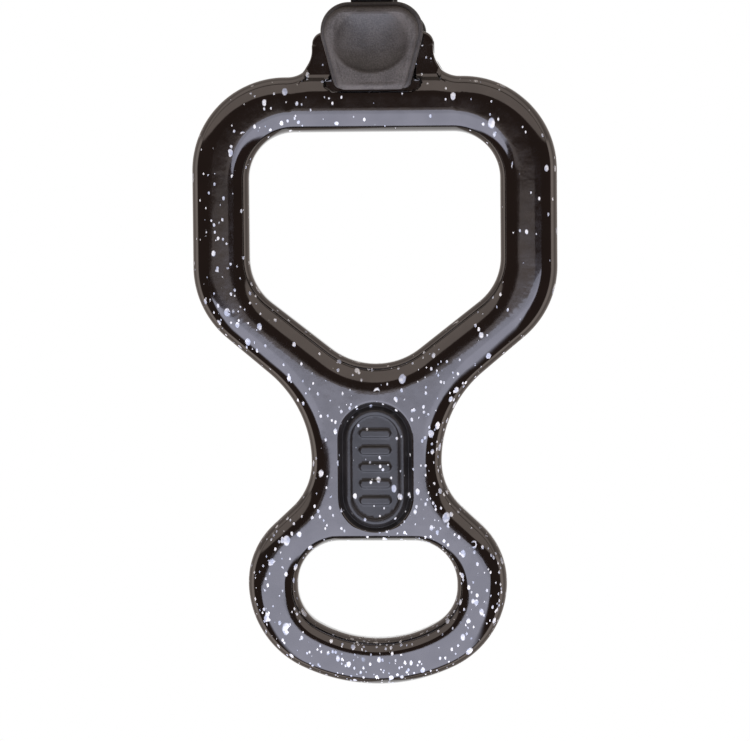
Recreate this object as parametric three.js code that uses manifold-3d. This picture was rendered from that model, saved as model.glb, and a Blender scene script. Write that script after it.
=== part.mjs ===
// Figure eight descender with a sprung keeper hook, in millimetres.
// +Z is up, the front faces -Y, and the origin is the seat where the hook hangs on a carabiner.
import * as THREE from 'three';
import { mergeVertices } from 'three/addons/utils/BufferGeometryUtils.js';
import Module from 'manifold-3d';

const wasm = await Module();
wasm.setup();

const degrees = Math.PI / 180;
const overrun = 4;              // how far a cutting shape runs past what it cuts
const same_point = 0.002;       // outline points closer than this are one

// Clearances
const seat_gap = 0.3;           // between pieces that rest on each other
const pin_gap = 0.12;           // round a pin
const swing_gap = 0.4;          // between the moving gate and what it passes

// Big ring: heights are taken from its middle
const ring_half_width = 39.05;
const ring_top_z = 32.5;
const ring_shoulder_radius = 20;
const ring_hip_z = -17.3;       // where the side line meets the slanted lower line
const ring_hip_radius = 20;
const ring_slant = 39.9 * degrees;
const side_bar_width = 11.85;
const top_bar_height = 11.5;
const hole_shoulder_radius = 9.9;
const hole_hip_rise = 5.1;      // the hole's hip over the ring's
const hole_hip_radius = 12;
const hole_slant = 38.1 * degrees;
const hole_bottom_radius = 15.4;

// Waist between the rings
const waist_half_width = 13.8;
const waist_length = 38.4;      // from the ring's hip to the waist's foot
const waist_upper_radius = 25;
const waist_lower_radius = 13.2;
const waist_foot_z = ring_hip_z - waist_length;

// Small ring, the eye, with heights below the waist's foot
const eye_ring_half_width = 27.66;
const eye_shoulder_drop = 12.92;
const eye_shoulder_radius = 17.2;
const eye_foot_drop = 33.5;
const eye_foot_radius = 20.6;
const eye_foot_slant = 24.65 * degrees;
const eye_bottom_radius = 37.5;
const eye_bar_width = 10.36;
const eye_hole_top_drop = 11.34;
const eye_hole_top_radius = 9.15;
const eye_bottom_bar_height = 9.91;
const eye_hole_foot_radius = 8.9;
const eye_hole_foot_slant = 31.1 * degrees;
const eye_hole_bottom_radius = 25.1;
const eye_foot_z = waist_foot_z - eye_foot_drop;
const eye_hole_top_z = waist_foot_z - eye_hole_top_drop;

// Section of the forging: a flat face that curves down to the edge
const body_thickness = 10.4;
const eye_flat_width = 0.76;    // what is left flat on the eye's side bars
const least_flat_width = 0.15;
const section_power = 2.5;      // 2 is an ellipse, more is fuller
const edge_curve_steps = 4;     // from the edge to each face
const edge_curve_width = (eye_bar_width - eye_flat_width) / 2;

// Neck: a low hump on the top bar carries two thinner ears
const hump_height = 1.7;
const hump_half_width = 13.6;
const hump_foot_width = 3.4;
const hump_radius = 6;
const neck_half_width = 12.95;
const neck_height = 9.5;        // over the ring's top
const neck_thickness = 6.4;
const neck_corner_radius = 2.6;
const neck_flare_radius = 5.4;
const neck_flare_width = 1.75;
const neck_foot_rise = 1.1;     // start and end of the flare over the ring's top
const neck_flare_rise = 4.1;
const neck_root_depth = 5.5;
const neck_edge_round = 0.7;
const ear_thickness = 5.05;
const ear_slot_depth = 11;
const neck_top_z = ring_top_z + neck_height;
const ear_slot_half_width = neck_half_width - ear_thickness;
const ear_slot_floor_z = neck_top_z - ear_slot_depth;

// Oval relief on the front of the waist
const oval_rise = 4.9;          // its middle over the waist's foot
const oval_half_width = 7.9;
const oval_straight_length = 12.1;
const oval_groove_width = 1.7;
const oval_groove_depth = 1;
const oval_rim_width = 1.1;
const oval_rim_drop = 0.35;
const oval_rib_count = 5;
const oval_rib_pitch = 3.6;
const oval_rib_length = 6.6;
const oval_rib_height = 1.7;
const oval_rib_round = 0.25;
const oval_z = waist_foot_z + oval_rise;

// Gate pivot and the angle that the gate opens
const pivot_forward = 0.6;      // of the body's middle plane
const pivot_drop = 3.4;         // below the ears' tops
const gate_opening = 28 * degrees;
const gate_pin_radius = 1.25;
const pin_end_recess = 0.25;
const knuckle_wall = 1.03;
const pivot_y = -pivot_forward;
const pivot_z = neck_top_z - pivot_drop;
const knuckle_radius = gate_pin_radius + pin_gap + knuckle_wall;

// Grey thumb piece, with heights from the pivot: a frame plate with the dished pad in front
const frame_half_width = 10.95;
const frame_top_half_width = 10.6;
const frame_bottom_half_width = 7.9;
const frame_rise = 10;
const frame_widest_rise = 2.7;
const frame_drop = 8.7;
const frame_top_radius = 6;
const frame_side_radius = 6;
const frame_bottom_radius = 1.7;
const frame_thickness = 1.6;
const frame_edge_round = 0.5;
const pad_inset = 0.9;
const pad_thickness = 2.7;
const pad_edge_round = 1.1;
const pad_overhang = 0.2;       // the pad reaches this much below the frame
const dish_half_width = 7.9;
const dish_half_height = 6.7;
const dish_depth = 1.3;
const dish_sag_radius = 4;      // depth-wise half axis of the ball that cuts the dish
const dish_rise = 1.7;
const frame_back_y = -neck_thickness / 2 - swing_gap;
const frame_top_z = pivot_z + frame_rise;
const frame_widest_z = pivot_z + frame_widest_rise;
const frame_bottom_z = pivot_z - frame_drop;
const dish_z = pivot_z + dish_rise;

// Gate arm, with heights from the pivot
const arm_width = 9.1;
const arm_thickness = 2.8;
const arm_foot_thickness = 1.7;
const arm_foot_drop = 6.4;
const arm_tip_thickness = 3.2;
const arm_bend_rise = 9.4;
const arm_lean_rise = 19;       // top of the stretch that leans forward
const arm_lean = 2.8;
const arm_rise = 24.6;
const arm_bend_radius = 4;
const arm_edge_round = 0.5;
const arm_corner_radius = 0.8;
const heel_reach = 5.6;
const heel_rise = 1;            // its underside
const heel_thickness = 2;

// Screws that hold frame and pad to the arm, with heights from the pivot
const screw_upper_rise = 7.6;
const screw_lower_drop = 4.6;
const screw_radius = 0.9;
const screw_head_radius = 1.7;
const screw_head_height = 0.9;
const screw_bite = 1.5;         // into the pad

// Keeper hook, with heights from the pivot
const hook_width = 9.1;
const hook_thickness = 4;
const nose_thickness = 3.7;
const nose_overlap = 2.7;       // of the arm's tip
const eye_depth = 12.4;         // between gate arm and spine
const hook_headroom = 2.8;      // over the arm's tip
const hook_outer_rear_radius = 9.5;
const hook_outer_front_radius = 8;
const hook_inner_rear_radius = 5.5;
const hook_inner_front_radius = 4.2;
const hook_edge_round = 1.1;
const spine_bend_rise = 12.7;
const spine_foot_rise = 4.4;
const spine_rear_foot_rise = 2.4;
const spine_bend_radius = 7;
const nose_round = 1.4;
const root_plate_thickness = 5;
const root_plate_edge_round = 0.9;
const root_plate_rise = 7.4;
const root_foot_front = 0.6;    // ahead of the pivot
const root_wall_thickness = 1.45;
const cheek_thickness = 2.7;
const cheek_wall = 1.13;
const heel_recess_depth = 2.7;  // into the root plate, so that the heel can swing
const hook_pin_radius = 0.9;
const hook_pin_reach = 1.6;     // behind the pivot
const hook_pin_drop = 4;
const cheek_radius = gate_pin_radius + pin_gap + cheek_wall;

// Follower and spring under the gate's heel
const follower_reach = 4;       // behind the pivot
const follower_radius = 1.3;
const follower_length = 5;
const follower_wall = 0.3;
const follower_roof = 0.6;
const follower_gap = 0.2;
const follower_steps = 16;
const spring_bore_wall = 0.6;   // under the spring
const spring_wire_radius = 0.14;
const spring_coil_radius = 0.71;
const spring_turns = 8;
const spring_steps_per_turn = 8;
const spring_sides = 5;
const spring_end_gap = 0.1;

// Pockets in the bar's two faces, round the lower ends of frame and root plate
const pocket_margin = 0.7;      // below the frame
const pocket_side_margin = 0.5;
const pocket_shoulder_rise = 1.7;
const pocket_shoulder_width = 2.1;
const pocket_corner_radius = 0.8;
const pocket_step = 0.1;        // deeper than the ears' faces

// Fineness of round shapes
const arc_step = 10 * degrees;
const ring_line_length = 8;     // a longer line in the rings' outlines is divided
const bevel_steps = 2;
const dome_steps = 5;
const pin_sides = 24;
const ball_steps = 24;

// An outline of straight lines with round corners. Corners are [x, y, radius]; a radius that
// doesn't fit is limited by its two lines. Each point carries its normal to the left.
function roundOutline(corners) {
  const count = corners.length;
  const turns = corners.map((corner, i) => {
    const before = corners[(i + count - 1) % count];
    const after = corners[(i + 1) % count];
    const into = new THREE.Vector2(corner[0] - before[0], corner[1] - before[1]);
    const out = new THREE.Vector2(after[0] - corner[0], after[1] - corner[1]);
    const bend = Math.atan2(into.cross(out), into.dot(out));
    const reach = corner[2] * Math.tan(Math.abs(bend) / 2);
    return { into, out, bend, reach };
  });
  const points = [];
  corners.forEach((corner, i) => {
    const turn = turns[i];
    const before = turns[(i + count - 1) % count];
    const after = turns[(i + 1) % count];
    const fit = Math.min(
      1,
      turn.into.length() / (turn.reach + before.reach + Number.EPSILON),
      turn.out.length() / (turn.reach + after.reach + Number.EPSILON),
    );
    const radius = corner[2] * fit;
    const into = turn.into.clone().normalize();
    const left = new THREE.Vector2(-into.y, into.x);
    const steps = Math.max(1, Math.ceil(Math.abs(turn.bend) / arc_step));
    const start = new THREE.Vector2(corner[0], corner[1]).addScaledVector(into, -turn.reach * fit);
    const side = Math.sign(turn.bend);
    const centre = start.clone().addScaledVector(left, side * radius);
    const origin = new THREE.Vector2();
    for (let step = 0; step <= steps; step += 1) {
      const normal = left.clone().rotateAround(origin, (turn.bend * step) / steps);
      const point = centre.clone().addScaledVector(normal, -side * radius);
      points.push({ point, normal });
    }
  });
  return points.filter(({ point }, i) => {
    const before = points[(i + points.length - 1) % points.length].point;
    return point.distanceTo(before) > same_point;
  });
}

// The whole outline from its right half, listed from the bottom up
function mirrored(right) {
  const left = right.filter(([x]) => x > 0).reverse().map(([x, z, radius]) => [-x, z, radius]);
  return [...right, ...left];
}

function outlineShape(corners) {
  return new THREE.Shape(roundOutline(corners).map(({ point }) => point));
}

function meshGeometry(positions, triangles) {
  const geometry = new THREE.BufferGeometry();
  geometry.setAttribute('position', new THREE.Float32BufferAttribute(positions, 3));
  geometry.setIndex(triangles);
  return geometry;
}

function toSolid(geometry) {
  const bare = geometry.clone();
  bare.deleteAttribute('normal');
  bare.deleteAttribute('uv');
  const merged = mergeVertices(bare);
  const vertProperties = Float32Array.from(merged.attributes.position.array);
  const triVerts = Uint32Array.from(merged.index.array);
  return new wasm.Manifold(new wasm.Mesh({ numProp: 3, vertProperties, triVerts }));
}

function toGeometry(solid) {
  const mesh = solid.getMesh();
  const geometry = meshGeometry(Array.from(mesh.vertProperties), Array.from(mesh.triVerts));
  geometry.computeVertexNormals();
  return geometry;
}

function extruded(shape, depth, round, basis, shift) {
  const geometry = new THREE.ExtrudeGeometry(shape, {
    depth: depth - 2 * round,
    bevelEnabled: round > 0,
    bevelThickness: round,
    bevelSize: round,
    bevelOffset: -round,
    bevelSegments: bevel_steps,
    steps: 1,
  });
  geometry.translate(0, 0, round);
  geometry.applyMatrix4(basis);
  geometry.translate(...shift);
  return geometry;
}

// A front outline in X and Z, from front_y back to rear_y
function plate(corners, front_y, rear_y, round = 0) {
  const basis = new THREE.Matrix4().makeBasis(
    new THREE.Vector3(1, 0, 0),
    new THREE.Vector3(0, 0, 1),
    new THREE.Vector3(0, -1, 0),
  );
  return toSolid(extruded(outlineShape(corners), rear_y - front_y, round, basis, [0, rear_y, 0]));
}

// A side outline in Y and Z, from left_x to right_x
function slab(corners, left_x, right_x, round = 0) {
  const basis = new THREE.Matrix4().makeBasis(
    new THREE.Vector3(0, 1, 0),
    new THREE.Vector3(0, 0, 1),
    new THREE.Vector3(1, 0, 0),
  );
  return toSolid(extruded(outlineShape(corners), right_x - left_x, round, basis, [left_x, 0, 0]));
}

// A round bar along X through the point (y, z)
function crossBar(radius, half_length, y, z) {
  const geometry = new THREE.CylinderGeometry(radius, radius, 2 * half_length, pin_sides);
  geometry.rotateZ(Math.PI / 2);
  geometry.translate(0, y, z);
  return toSolid(geometry);
}

// A turned piece: the profile is [radius, height] along an axis that +Z becomes after turning
function turned(profile, steps) {
  const points = profile.map(([radius, height]) => new THREE.Vector2(radius, height));
  const geometry = new THREE.LatheGeometry(points, steps);
  geometry.rotateX(Math.PI / 2);
  return geometry;
}

// The two rings, the waist and the hump

// Two lines slant down to the middle: how far their round corner lies over their crossing
function cornerRise(radius, slant) {
  return radius * (1 / Math.cos(slant) - 1);
}

const hole_half_width = ring_half_width - side_bar_width;
const hole_top_z = ring_top_z - top_bar_height;
const hole_hip_z = ring_hip_z + hole_hip_rise;
const eye_hole_half_width = eye_ring_half_width - eye_bar_width;
const body_face_y = -body_thickness / 2;

function ringOutlines() {
  const waist_top_z = ring_hip_z - (ring_half_width - waist_half_width) * Math.tan(ring_slant);
  const eye_tip_z = eye_foot_z - eye_ring_half_width * Math.tan(eye_foot_slant);
  const outer = mirrored([
    [0, eye_tip_z, eye_bottom_radius],
    [eye_ring_half_width, eye_foot_z, eye_foot_radius],
    [eye_ring_half_width, waist_foot_z - eye_shoulder_drop, eye_shoulder_radius],
    [waist_half_width, waist_foot_z, waist_lower_radius],
    [waist_half_width, waist_top_z, waist_upper_radius],
    [ring_half_width, ring_hip_z, ring_hip_radius],
    [ring_half_width, ring_top_z, ring_shoulder_radius],
    [hump_half_width + hump_foot_width, ring_top_z, hump_radius],
    [hump_half_width, ring_top_z + hump_height, hump_radius],
  ]);
  const hole = mirrored([
    [0, hole_hip_z - hole_half_width * Math.tan(hole_slant), hole_bottom_radius],
    [hole_half_width, hole_hip_z, hole_hip_radius],
    [hole_half_width, hole_top_z, hole_shoulder_radius],
  ]);
  const eye_bottom_z = eye_tip_z + cornerRise(eye_bottom_radius, eye_foot_slant);
  const eye_hole_corner_rise = cornerRise(eye_hole_bottom_radius, eye_hole_foot_slant);
  const eye_hole_tip_z = eye_bottom_z + eye_bottom_bar_height - eye_hole_corner_rise;
  const eye_hole_foot_z = eye_hole_tip_z + eye_hole_half_width * Math.tan(eye_hole_foot_slant);
  const eye_hole = mirrored([
    [0, eye_hole_tip_z, eye_hole_bottom_radius],
    [eye_hole_half_width, eye_hole_foot_z, eye_hole_foot_radius],
    [eye_hole_half_width, eye_hole_top_z, eye_hole_top_radius],
  ]);
  return [outer, hole, eye_hole].map((corners) => divided(roundOutline(corners)));
}

// The section is fuller than an ellipse: its sine and cosine are raised to this power
function bulge(ratio) {
  const size = Math.abs(ratio);
  return size < Number.EPSILON ? 0 : Math.sign(ratio) * size ** (2 / section_power);
}

// The outline with more points on its long lines
function divided(outline) {
  return outline.flatMap(({ point, normal }, i) => {
    const next = outline[(i + 1) % outline.length].point;
    const pieces = Math.ceil(point.distanceTo(next) / ring_line_length);
    const points = [{ point, normal }];
    for (let piece = 1; piece < pieces; piece += 1) {
      points.push({ point: point.clone().lerp(next, piece / pieces), normal });
    }
    return points;
  });
}

function distanceToOutline(point, outline) {
  const distances = outline.map(({ point: start }, i) => {
    const along = outline[(i + 1) % outline.length].point.clone().sub(start);
    const share = point.clone().sub(start).dot(along) / along.lengthSq();
    return start.clone().addScaledVector(along, THREE.MathUtils.clamp(share, 0, 1)).distanceTo(point);
  });
  return Math.min(...distances);
}

// The forged rings as one closed surface: walls that curve from face to face, and two flat caps.
// A narrow bar has a narrower curve, so that some flat is left.
function forgedRings() {
  const outlines = ringOutlines();
  const positions = [];
  const triangles = [];
  const addRing = (points, y) => {
    const first = positions.length / 3;
    points.forEach((point) => positions.push(point.x, y, point.y));
    return points.map((point, i) => first + i);
  };
  const joinRings = (front, rear, facing) => {
    front.forEach((a, i) => {
      const b = front[(i + 1) % front.length];
      const c = rear[(i + 1) % rear.length];
      const d = rear[i];
      triangles.push(...(facing > 0 ? [a, d, c, a, c, b] : [a, b, c, a, c, d]));
    });
  };
  const wall = (outline, facing) => {
    const others = outlines.filter((other) => other !== outline);
    const widths = outline.map(({ point }) => {
      const bar_width = Math.min(...others.map((other) => distanceToOutline(point, other)));
      return Math.min(edge_curve_width, (bar_width - least_flat_width) / 2);
    });
    const rings = [];
    for (let step = 0; step <= 2 * edge_curve_steps; step += 1) {
      const angle = (Math.PI / 2) * (step / edge_curve_steps - 1);
      const share = (1 - bulge(Math.cos(angle))) * facing;
      const points = outline.map(({ point, normal }, i) =>
        point.clone().addScaledVector(normal, widths[i] * share),
      );
      rings.push({ points, indices: addRing(points, -body_face_y * bulge(Math.sin(angle))) });
    }
    for (let step = 0; step < 2 * edge_curve_steps; step += 1) {
      joinRings(rings[step].indices, rings[step + 1].indices, facing);
    }
    return { front: rings[0], rear: rings[2 * edge_curve_steps] };
  };
  const cap = (contour, openings, flip) => {
    const indices = [contour, ...openings].flatMap((ring) => ring.indices);
    const faces = THREE.ShapeUtils.triangulateShape(
      contour.points.slice(),
      openings.map((ring) => ring.points.slice()),
    );
    faces.forEach(([a, b, c]) => {
      const face = [indices[a], indices[b], indices[c]];
      triangles.push(...(flip ? face.reverse() : face));
    });
  };
  const [outer, ...holes] = outlines;
  const outside = wall(outer, 1);
  const openings = holes.map((hole) => wall(hole, -1));
  cap(outside.front, openings.map((opening) => opening.front), false);
  cap(outside.rear, openings.map((opening) => opening.rear), true);
  return toSolid(meshGeometry(positions, triangles));
}

function boxCorners(half_width, low_z, high_z, radius) {
  return mirrored([
    [half_width, low_z, radius],
    [half_width, high_z, radius],
  ]);
}

// A plate with round ends, as wide as the oval's centre line widened by the offset on each side
function ovalPlate(offset, front_y, rear_y) {
  const reach = oval_straight_length / 2 + offset;
  return plate(boxCorners(offset, oval_z - reach, oval_z + reach, offset), front_y, rear_y);
}

// The groove, the sunk floor inside its rim, and plain ribs that stand on that floor
function withOvalRelief(solid) {
  const front_y = body_face_y - overrun;
  const groove_y = body_face_y + oval_groove_depth;
  const inside = oval_half_width - oval_groove_width;
  const groove = ovalPlate(oval_half_width, front_y, groove_y).subtract(
    ovalPlate(inside, front_y - overrun, groove_y + overrun),
  );
  const floor = ovalPlate(inside - oval_rim_width, front_y, body_face_y + oval_rim_drop);
  let relief = solid.subtract(groove).subtract(floor);
  for (let i = 0; i < oval_rib_count; i += 1) {
    const middle = oval_z + (i - (oval_rib_count - 1) / 2) * oval_rib_pitch;
    const half = oval_rib_height / 2;
    const rib = boxCorners(oval_rib_length / 2, middle - half, middle + half, half);
    relief = relief.add(plate(rib, body_face_y, groove_y, oval_rib_round));
  }
  return relief;
}

const foot_half_width = neck_half_width + neck_flare_width;

function neckPlate() {
  const corners = mirrored([
    [foot_half_width, ring_top_z - neck_root_depth, 0],
    [foot_half_width, ring_top_z + neck_foot_rise, 0],
    [neck_half_width, ring_top_z + neck_flare_rise, neck_flare_radius],
    [neck_half_width, neck_top_z, neck_corner_radius],
  ]);
  return plate(corners, -neck_thickness / 2, neck_thickness / 2, neck_edge_round);
}

// The front of each ear leans back above the pivot, so that the opened gate clears it
function earRelief() {
  const front_y = -neck_thickness / 2;
  const reach = pivot_y - frame_back_y - swing_gap;
  const ear_front = pivot_y - front_y;
  const start_z = pivot_z + (reach - ear_front * Math.cos(gate_opening)) / Math.sin(gate_opening);
  const rise = neck_top_z - start_z + overrun;
  const corners = [
    [front_y - overrun, start_z, 0],
    [front_y, start_z, 0],
    [front_y + rise * Math.tan(gate_opening), start_z + rise, 0],
    [front_y - overrun, start_z + rise, 0],
  ];
  return slab(corners, -neck_half_width - overrun, neck_half_width + overrun);
}

function pocket(front_y, rear_y) {
  const bottom_z = frame_bottom_z - pocket_margin;
  const shoulder_half_width = frame_bottom_half_width + pocket_side_margin + pocket_shoulder_width;
  const corners = mirrored([
    [frame_bottom_half_width + pocket_side_margin, bottom_z, pocket_corner_radius],
    [shoulder_half_width, bottom_z + pocket_shoulder_rise, pocket_corner_radius],
    [shoulder_half_width, neck_top_z, 0],
  ]);
  return plate(corners, front_y, rear_y);
}

function descenderBody() {
  const slot = plate(
    boxCorners(ear_slot_half_width, ear_slot_floor_z, neck_top_z + overrun, 0),
    body_face_y - overrun,
    -body_face_y + overrun,
  );
  const pocket_floor = neck_thickness / 2 - pocket_step;
  const bore_length = foot_half_width + overrun;
  let solid = withOvalRelief(forgedRings().add(neckPlate()));
  const cuts = [
    slot,
    earRelief(),
    pocket(body_face_y - overrun, -pocket_floor),
    pocket(pocket_floor, -body_face_y + overrun),
    crossBar(gate_pin_radius + pin_gap, bore_length, pivot_y, pivot_z),
    crossBar(hook_pin_radius + pin_gap, bore_length, hook_pin_y, hook_pin_z),
  ];
  cuts.forEach((cut) => {
    solid = solid.subtract(cut);
  });
  return solid;
}

// Thumb piece

const frame_front_y = frame_back_y - frame_thickness;
const pad_back_y = frame_front_y - seat_gap;
const pad_front_y = pad_back_y - pad_thickness;

function thumbOutline(inset, bottom_z) {
  return mirrored([
    [frame_bottom_half_width - inset, bottom_z, frame_bottom_radius],
    [frame_half_width - inset, frame_widest_z, frame_side_radius],
    [frame_top_half_width - inset, frame_top_z - inset, frame_top_radius - inset],
  ]);
}

// The screw with its head in the arm's rear face, or the hole for it, which is larger by a gap
function padScrew(z, head_y, gap) {
  const length = head_y - pad_back_y + screw_bite;
  const top = gap > 0 ? overrun : 0;
  const profile = [
    [0, -length - gap],
    [screw_radius + gap, -length - gap],
    [screw_radius + gap, -screw_head_height],
    [screw_head_radius + gap, 0],
  ];
  if (top > 0) profile.push([screw_head_radius + gap, top]);
  profile.push([0, top]);
  const geometry = turned(profile, pin_sides);
  geometry.rotateX(-Math.PI / 2);
  geometry.translate(0, head_y, z);
  return toSolid(geometry);
}

const arm_front_y = frame_back_y + seat_gap;
const upper_screw = { z: pivot_z + screw_upper_rise, head_y: arm_front_y + arm_thickness };
const lower_screw = { z: pivot_z - screw_lower_drop, head_y: arm_front_y + arm_foot_thickness };

function withScrewHoles(solid) {
  return [upper_screw, lower_screw].reduce(
    (rest, screw) => rest.subtract(padScrew(screw.z, screw.head_y, pin_gap)),
    solid,
  );
}

function padFrame() {
  return withScrewHoles(
    plate(thumbOutline(0, frame_bottom_z), frame_front_y, frame_back_y, frame_edge_round),
  );
}

function thumbPad() {
  const block = plate(
    thumbOutline(pad_inset, frame_bottom_z - pad_overhang),
    pad_front_y,
    pad_back_y,
    pad_edge_round,
  );
  const rise_share = (dish_sag_radius - dish_depth) / dish_sag_radius;
  const rim_share = Math.sqrt(1 - rise_share * rise_share);
  const ball = new THREE.SphereGeometry(1, ball_steps, ball_steps);
  ball.scale(dish_half_width / rim_share, dish_sag_radius, dish_half_height / rim_share);
  ball.translate(0, pad_front_y - (dish_sag_radius - dish_depth), dish_z);
  return withScrewHoles(block.subtract(toSolid(ball)));
}

// Gate arm: foot, knuckle, heel and the finger that closes the hook

function gateArm() {
  const foot_back_y = arm_front_y + arm_foot_thickness;
  const arm_back_y = arm_front_y + arm_thickness;
  const tip_front_y = arm_front_y - arm_lean;
  const heel_end_y = pivot_y + heel_reach;
  const heel_low_z = pivot_z + heel_rise;
  const foot_z = pivot_z - arm_foot_drop;
  const bend_z = pivot_z + arm_bend_rise;
  const lean_z = pivot_z + arm_lean_rise;
  const corners = [
    [arm_front_y, foot_z, arm_corner_radius],
    [foot_back_y, foot_z, arm_corner_radius],
    [foot_back_y, pivot_z, 0],
    [pivot_y, pivot_z, 0],
    [pivot_y, heel_low_z, 0],
    [heel_end_y, heel_low_z, arm_corner_radius],
    [heel_end_y, heel_low_z + heel_thickness, arm_corner_radius],
    [arm_back_y, heel_low_z + heel_thickness, arm_corner_radius],
    [arm_back_y, bend_z, arm_bend_radius],
    [tip_front_y + arm_tip_thickness, lean_z, arm_bend_radius],
    [tip_front_y + arm_tip_thickness, arm_tip_z, arm_corner_radius],
    [tip_front_y, arm_tip_z, arm_corner_radius],
    [tip_front_y, lean_z, arm_bend_radius],
    [arm_front_y, bend_z, arm_bend_radius],
  ];
  const arm = slab(corners, -arm_width / 2, arm_width / 2, arm_edge_round);
  const knuckle = crossBar(knuckle_radius, arm_width / 2, pivot_y, pivot_z);
  const bore = crossBar(gate_pin_radius + pin_gap, arm_width, pivot_y, pivot_z);
  return withScrewHoles(arm.add(knuckle).subtract(bore));
}

// Keeper hook: a root plate behind the ears, cheeks between them, spine, curl and nose

const plate_front_y = neck_thickness / 2 + swing_gap;
const plate_back_y = plate_front_y + root_plate_thickness;
const root_front_y = pivot_y - root_foot_front;
const root_wall_y = plate_front_y - root_wall_thickness;
const hook_pin_y = pivot_y + hook_pin_reach;
const hook_pin_z = pivot_z - hook_pin_drop;
const follower_y = pivot_y + follower_reach;
const spring_bore_floor_z = ear_slot_floor_z + seat_gap + spring_bore_wall;
const root_bottom_z = ear_slot_floor_z + seat_gap;
const spine_foot_z = pivot_z + spine_foot_rise;
const arm_tip_z = pivot_z + arm_rise;
const nose_tip_z = arm_tip_z - nose_overlap;
const hook_eye_top_z = arm_tip_z + hook_headroom;
const nose_back_y = arm_front_y - arm_lean - seat_gap;
const spine_front_y = arm_front_y - arm_lean + arm_tip_thickness + eye_depth;
const spine_back_y = spine_front_y + hook_thickness;
const hook_top_z = hook_eye_top_z + hook_thickness;

function hookSide() {
  const bend_z = pivot_z + spine_bend_rise;
  return [
    [plate_front_y, frame_bottom_z + seat_gap, nose_round],
    [plate_back_y, frame_bottom_z + seat_gap, nose_round],
    [plate_back_y, pivot_z + spine_rear_foot_rise, spine_bend_radius],
    [spine_back_y, bend_z, spine_bend_radius],
    [spine_back_y, hook_top_z, hook_outer_rear_radius],
    [nose_back_y - nose_thickness, hook_top_z, hook_outer_front_radius],
    [nose_back_y - nose_thickness, nose_tip_z, nose_round],
    [nose_back_y, nose_tip_z, nose_round],
    [nose_back_y, hook_eye_top_z, hook_inner_front_radius],
    [spine_front_y, hook_eye_top_z, hook_inner_rear_radius],
    [spine_front_y, bend_z, spine_bend_radius],
    [plate_front_y, spine_foot_z, nose_round],
  ];
}

// The swept floor under the heel: a line at the opening angle, one gap below the opened heel
function heelSweepZ(y) {
  const low = heel_rise * Math.cos(gate_opening);
  const along = (y - pivot_y - heel_rise * Math.sin(gate_opening)) / Math.cos(gate_opening);
  return pivot_z + low - along * Math.sin(gate_opening) - swing_gap;
}

function heelRecess() {
  const rear_y = plate_front_y + heel_recess_depth;
  const corners = [
    [root_wall_y - seat_gap, heelSweepZ(root_wall_y), 0],
    [rear_y, heelSweepZ(rear_y), 0],
    [rear_y, spine_foot_z, 0],
    [root_wall_y - seat_gap, spine_foot_z, 0],
  ];
  const half = arm_width / 2 + swing_gap;
  return slab(corners, -half, half);
}

function hookRoot() {
  const half = ear_slot_half_width - seat_gap;
  const inner = half - cheek_thickness;
  const foot_top_z = pivot_z - knuckle_radius - seat_gap;
  const inside_y = plate_front_y + root_plate_edge_round;
  const foot = slab(
    [
      [root_front_y, root_bottom_z, 0],
      [inside_y, root_bottom_z, 0],
      [inside_y, heelSweepZ(root_wall_y), 0],
      [root_wall_y, heelSweepZ(root_wall_y), 0],
      [root_wall_y, foot_top_z, 0],
      [root_front_y, foot_top_z, 0],
    ],
    -half,
    half,
  );
  const cheek = [
    [root_front_y, root_bottom_z, 0],
    [inside_y, root_bottom_z, 0],
    [inside_y, pivot_z + cheek_radius, 0],
    [pivot_y - cheek_radius, pivot_z + cheek_radius, cheek_radius],
    [pivot_y - cheek_radius, pivot_z - cheek_radius, cheek_radius],
    [root_front_y, pivot_z - cheek_radius, 0],
  ];
  return foot.add(slab(cheek, inner, half)).add(slab(cheek, -half, -inner));
}

function keeperHook() {
  const root_outline = mirrored([
    [frame_bottom_half_width, frame_bottom_z + seat_gap, frame_bottom_radius],
    [frame_half_width, frame_widest_z, frame_side_radius],
    [frame_top_half_width, pivot_z + root_plate_rise, frame_top_radius],
  ]);
  const root_plate = plate(root_outline, plate_front_y, plate_back_y, root_plate_edge_round);
  const hook = slab(hookSide(), -hook_width / 2, hook_width / 2, hook_edge_round);
  const half = ear_slot_half_width;
  const bore_radius = follower_radius + pin_gap;
  const spring_bore = turned(
    [
      [0, spring_bore_floor_z],
      [bore_radius, spring_bore_floor_z],
      [bore_radius, spine_foot_z - seat_gap],
      [0, spine_foot_z - seat_gap],
    ],
    pin_sides,
  );
  spring_bore.translate(0, follower_y, 0);
  const cuts = [
    heelRecess(),
    crossBar(gate_pin_radius + pin_gap, half, pivot_y, pivot_z),
    crossBar(hook_pin_radius + pin_gap, half, hook_pin_y, hook_pin_z),
    toSolid(spring_bore),
  ];
  return cuts.reduce((rest, cut) => rest.subtract(cut), root_plate.add(hook).add(hookRoot()));
}

// Pins, follower and spring

const pin_half_length = neck_half_width - pin_end_recess;

function springFollower() {
  const top_z = pivot_z + heel_rise - follower_gap;
  const dome_z = top_z - follower_radius;
  const bottom_z = top_z - follower_length;
  const inner = follower_radius - follower_wall;
  const profile = [
    [0, top_z - follower_roof],
    [inner, top_z - follower_roof - inner],
    [inner, bottom_z],
    [follower_radius, bottom_z],
  ];
  for (let step = 0; step <= dome_steps; step += 1) {
    const angle = (Math.PI / 2) * (step / dome_steps);
    const radius = step === dome_steps ? 0 : follower_radius * Math.cos(angle);
    profile.push([radius, dome_z + follower_radius * Math.sin(angle)]);
  }
  const geometry = turned(profile, follower_steps);
  geometry.translate(0, follower_y, 0);
  return toSolid(geometry);
}

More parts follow.
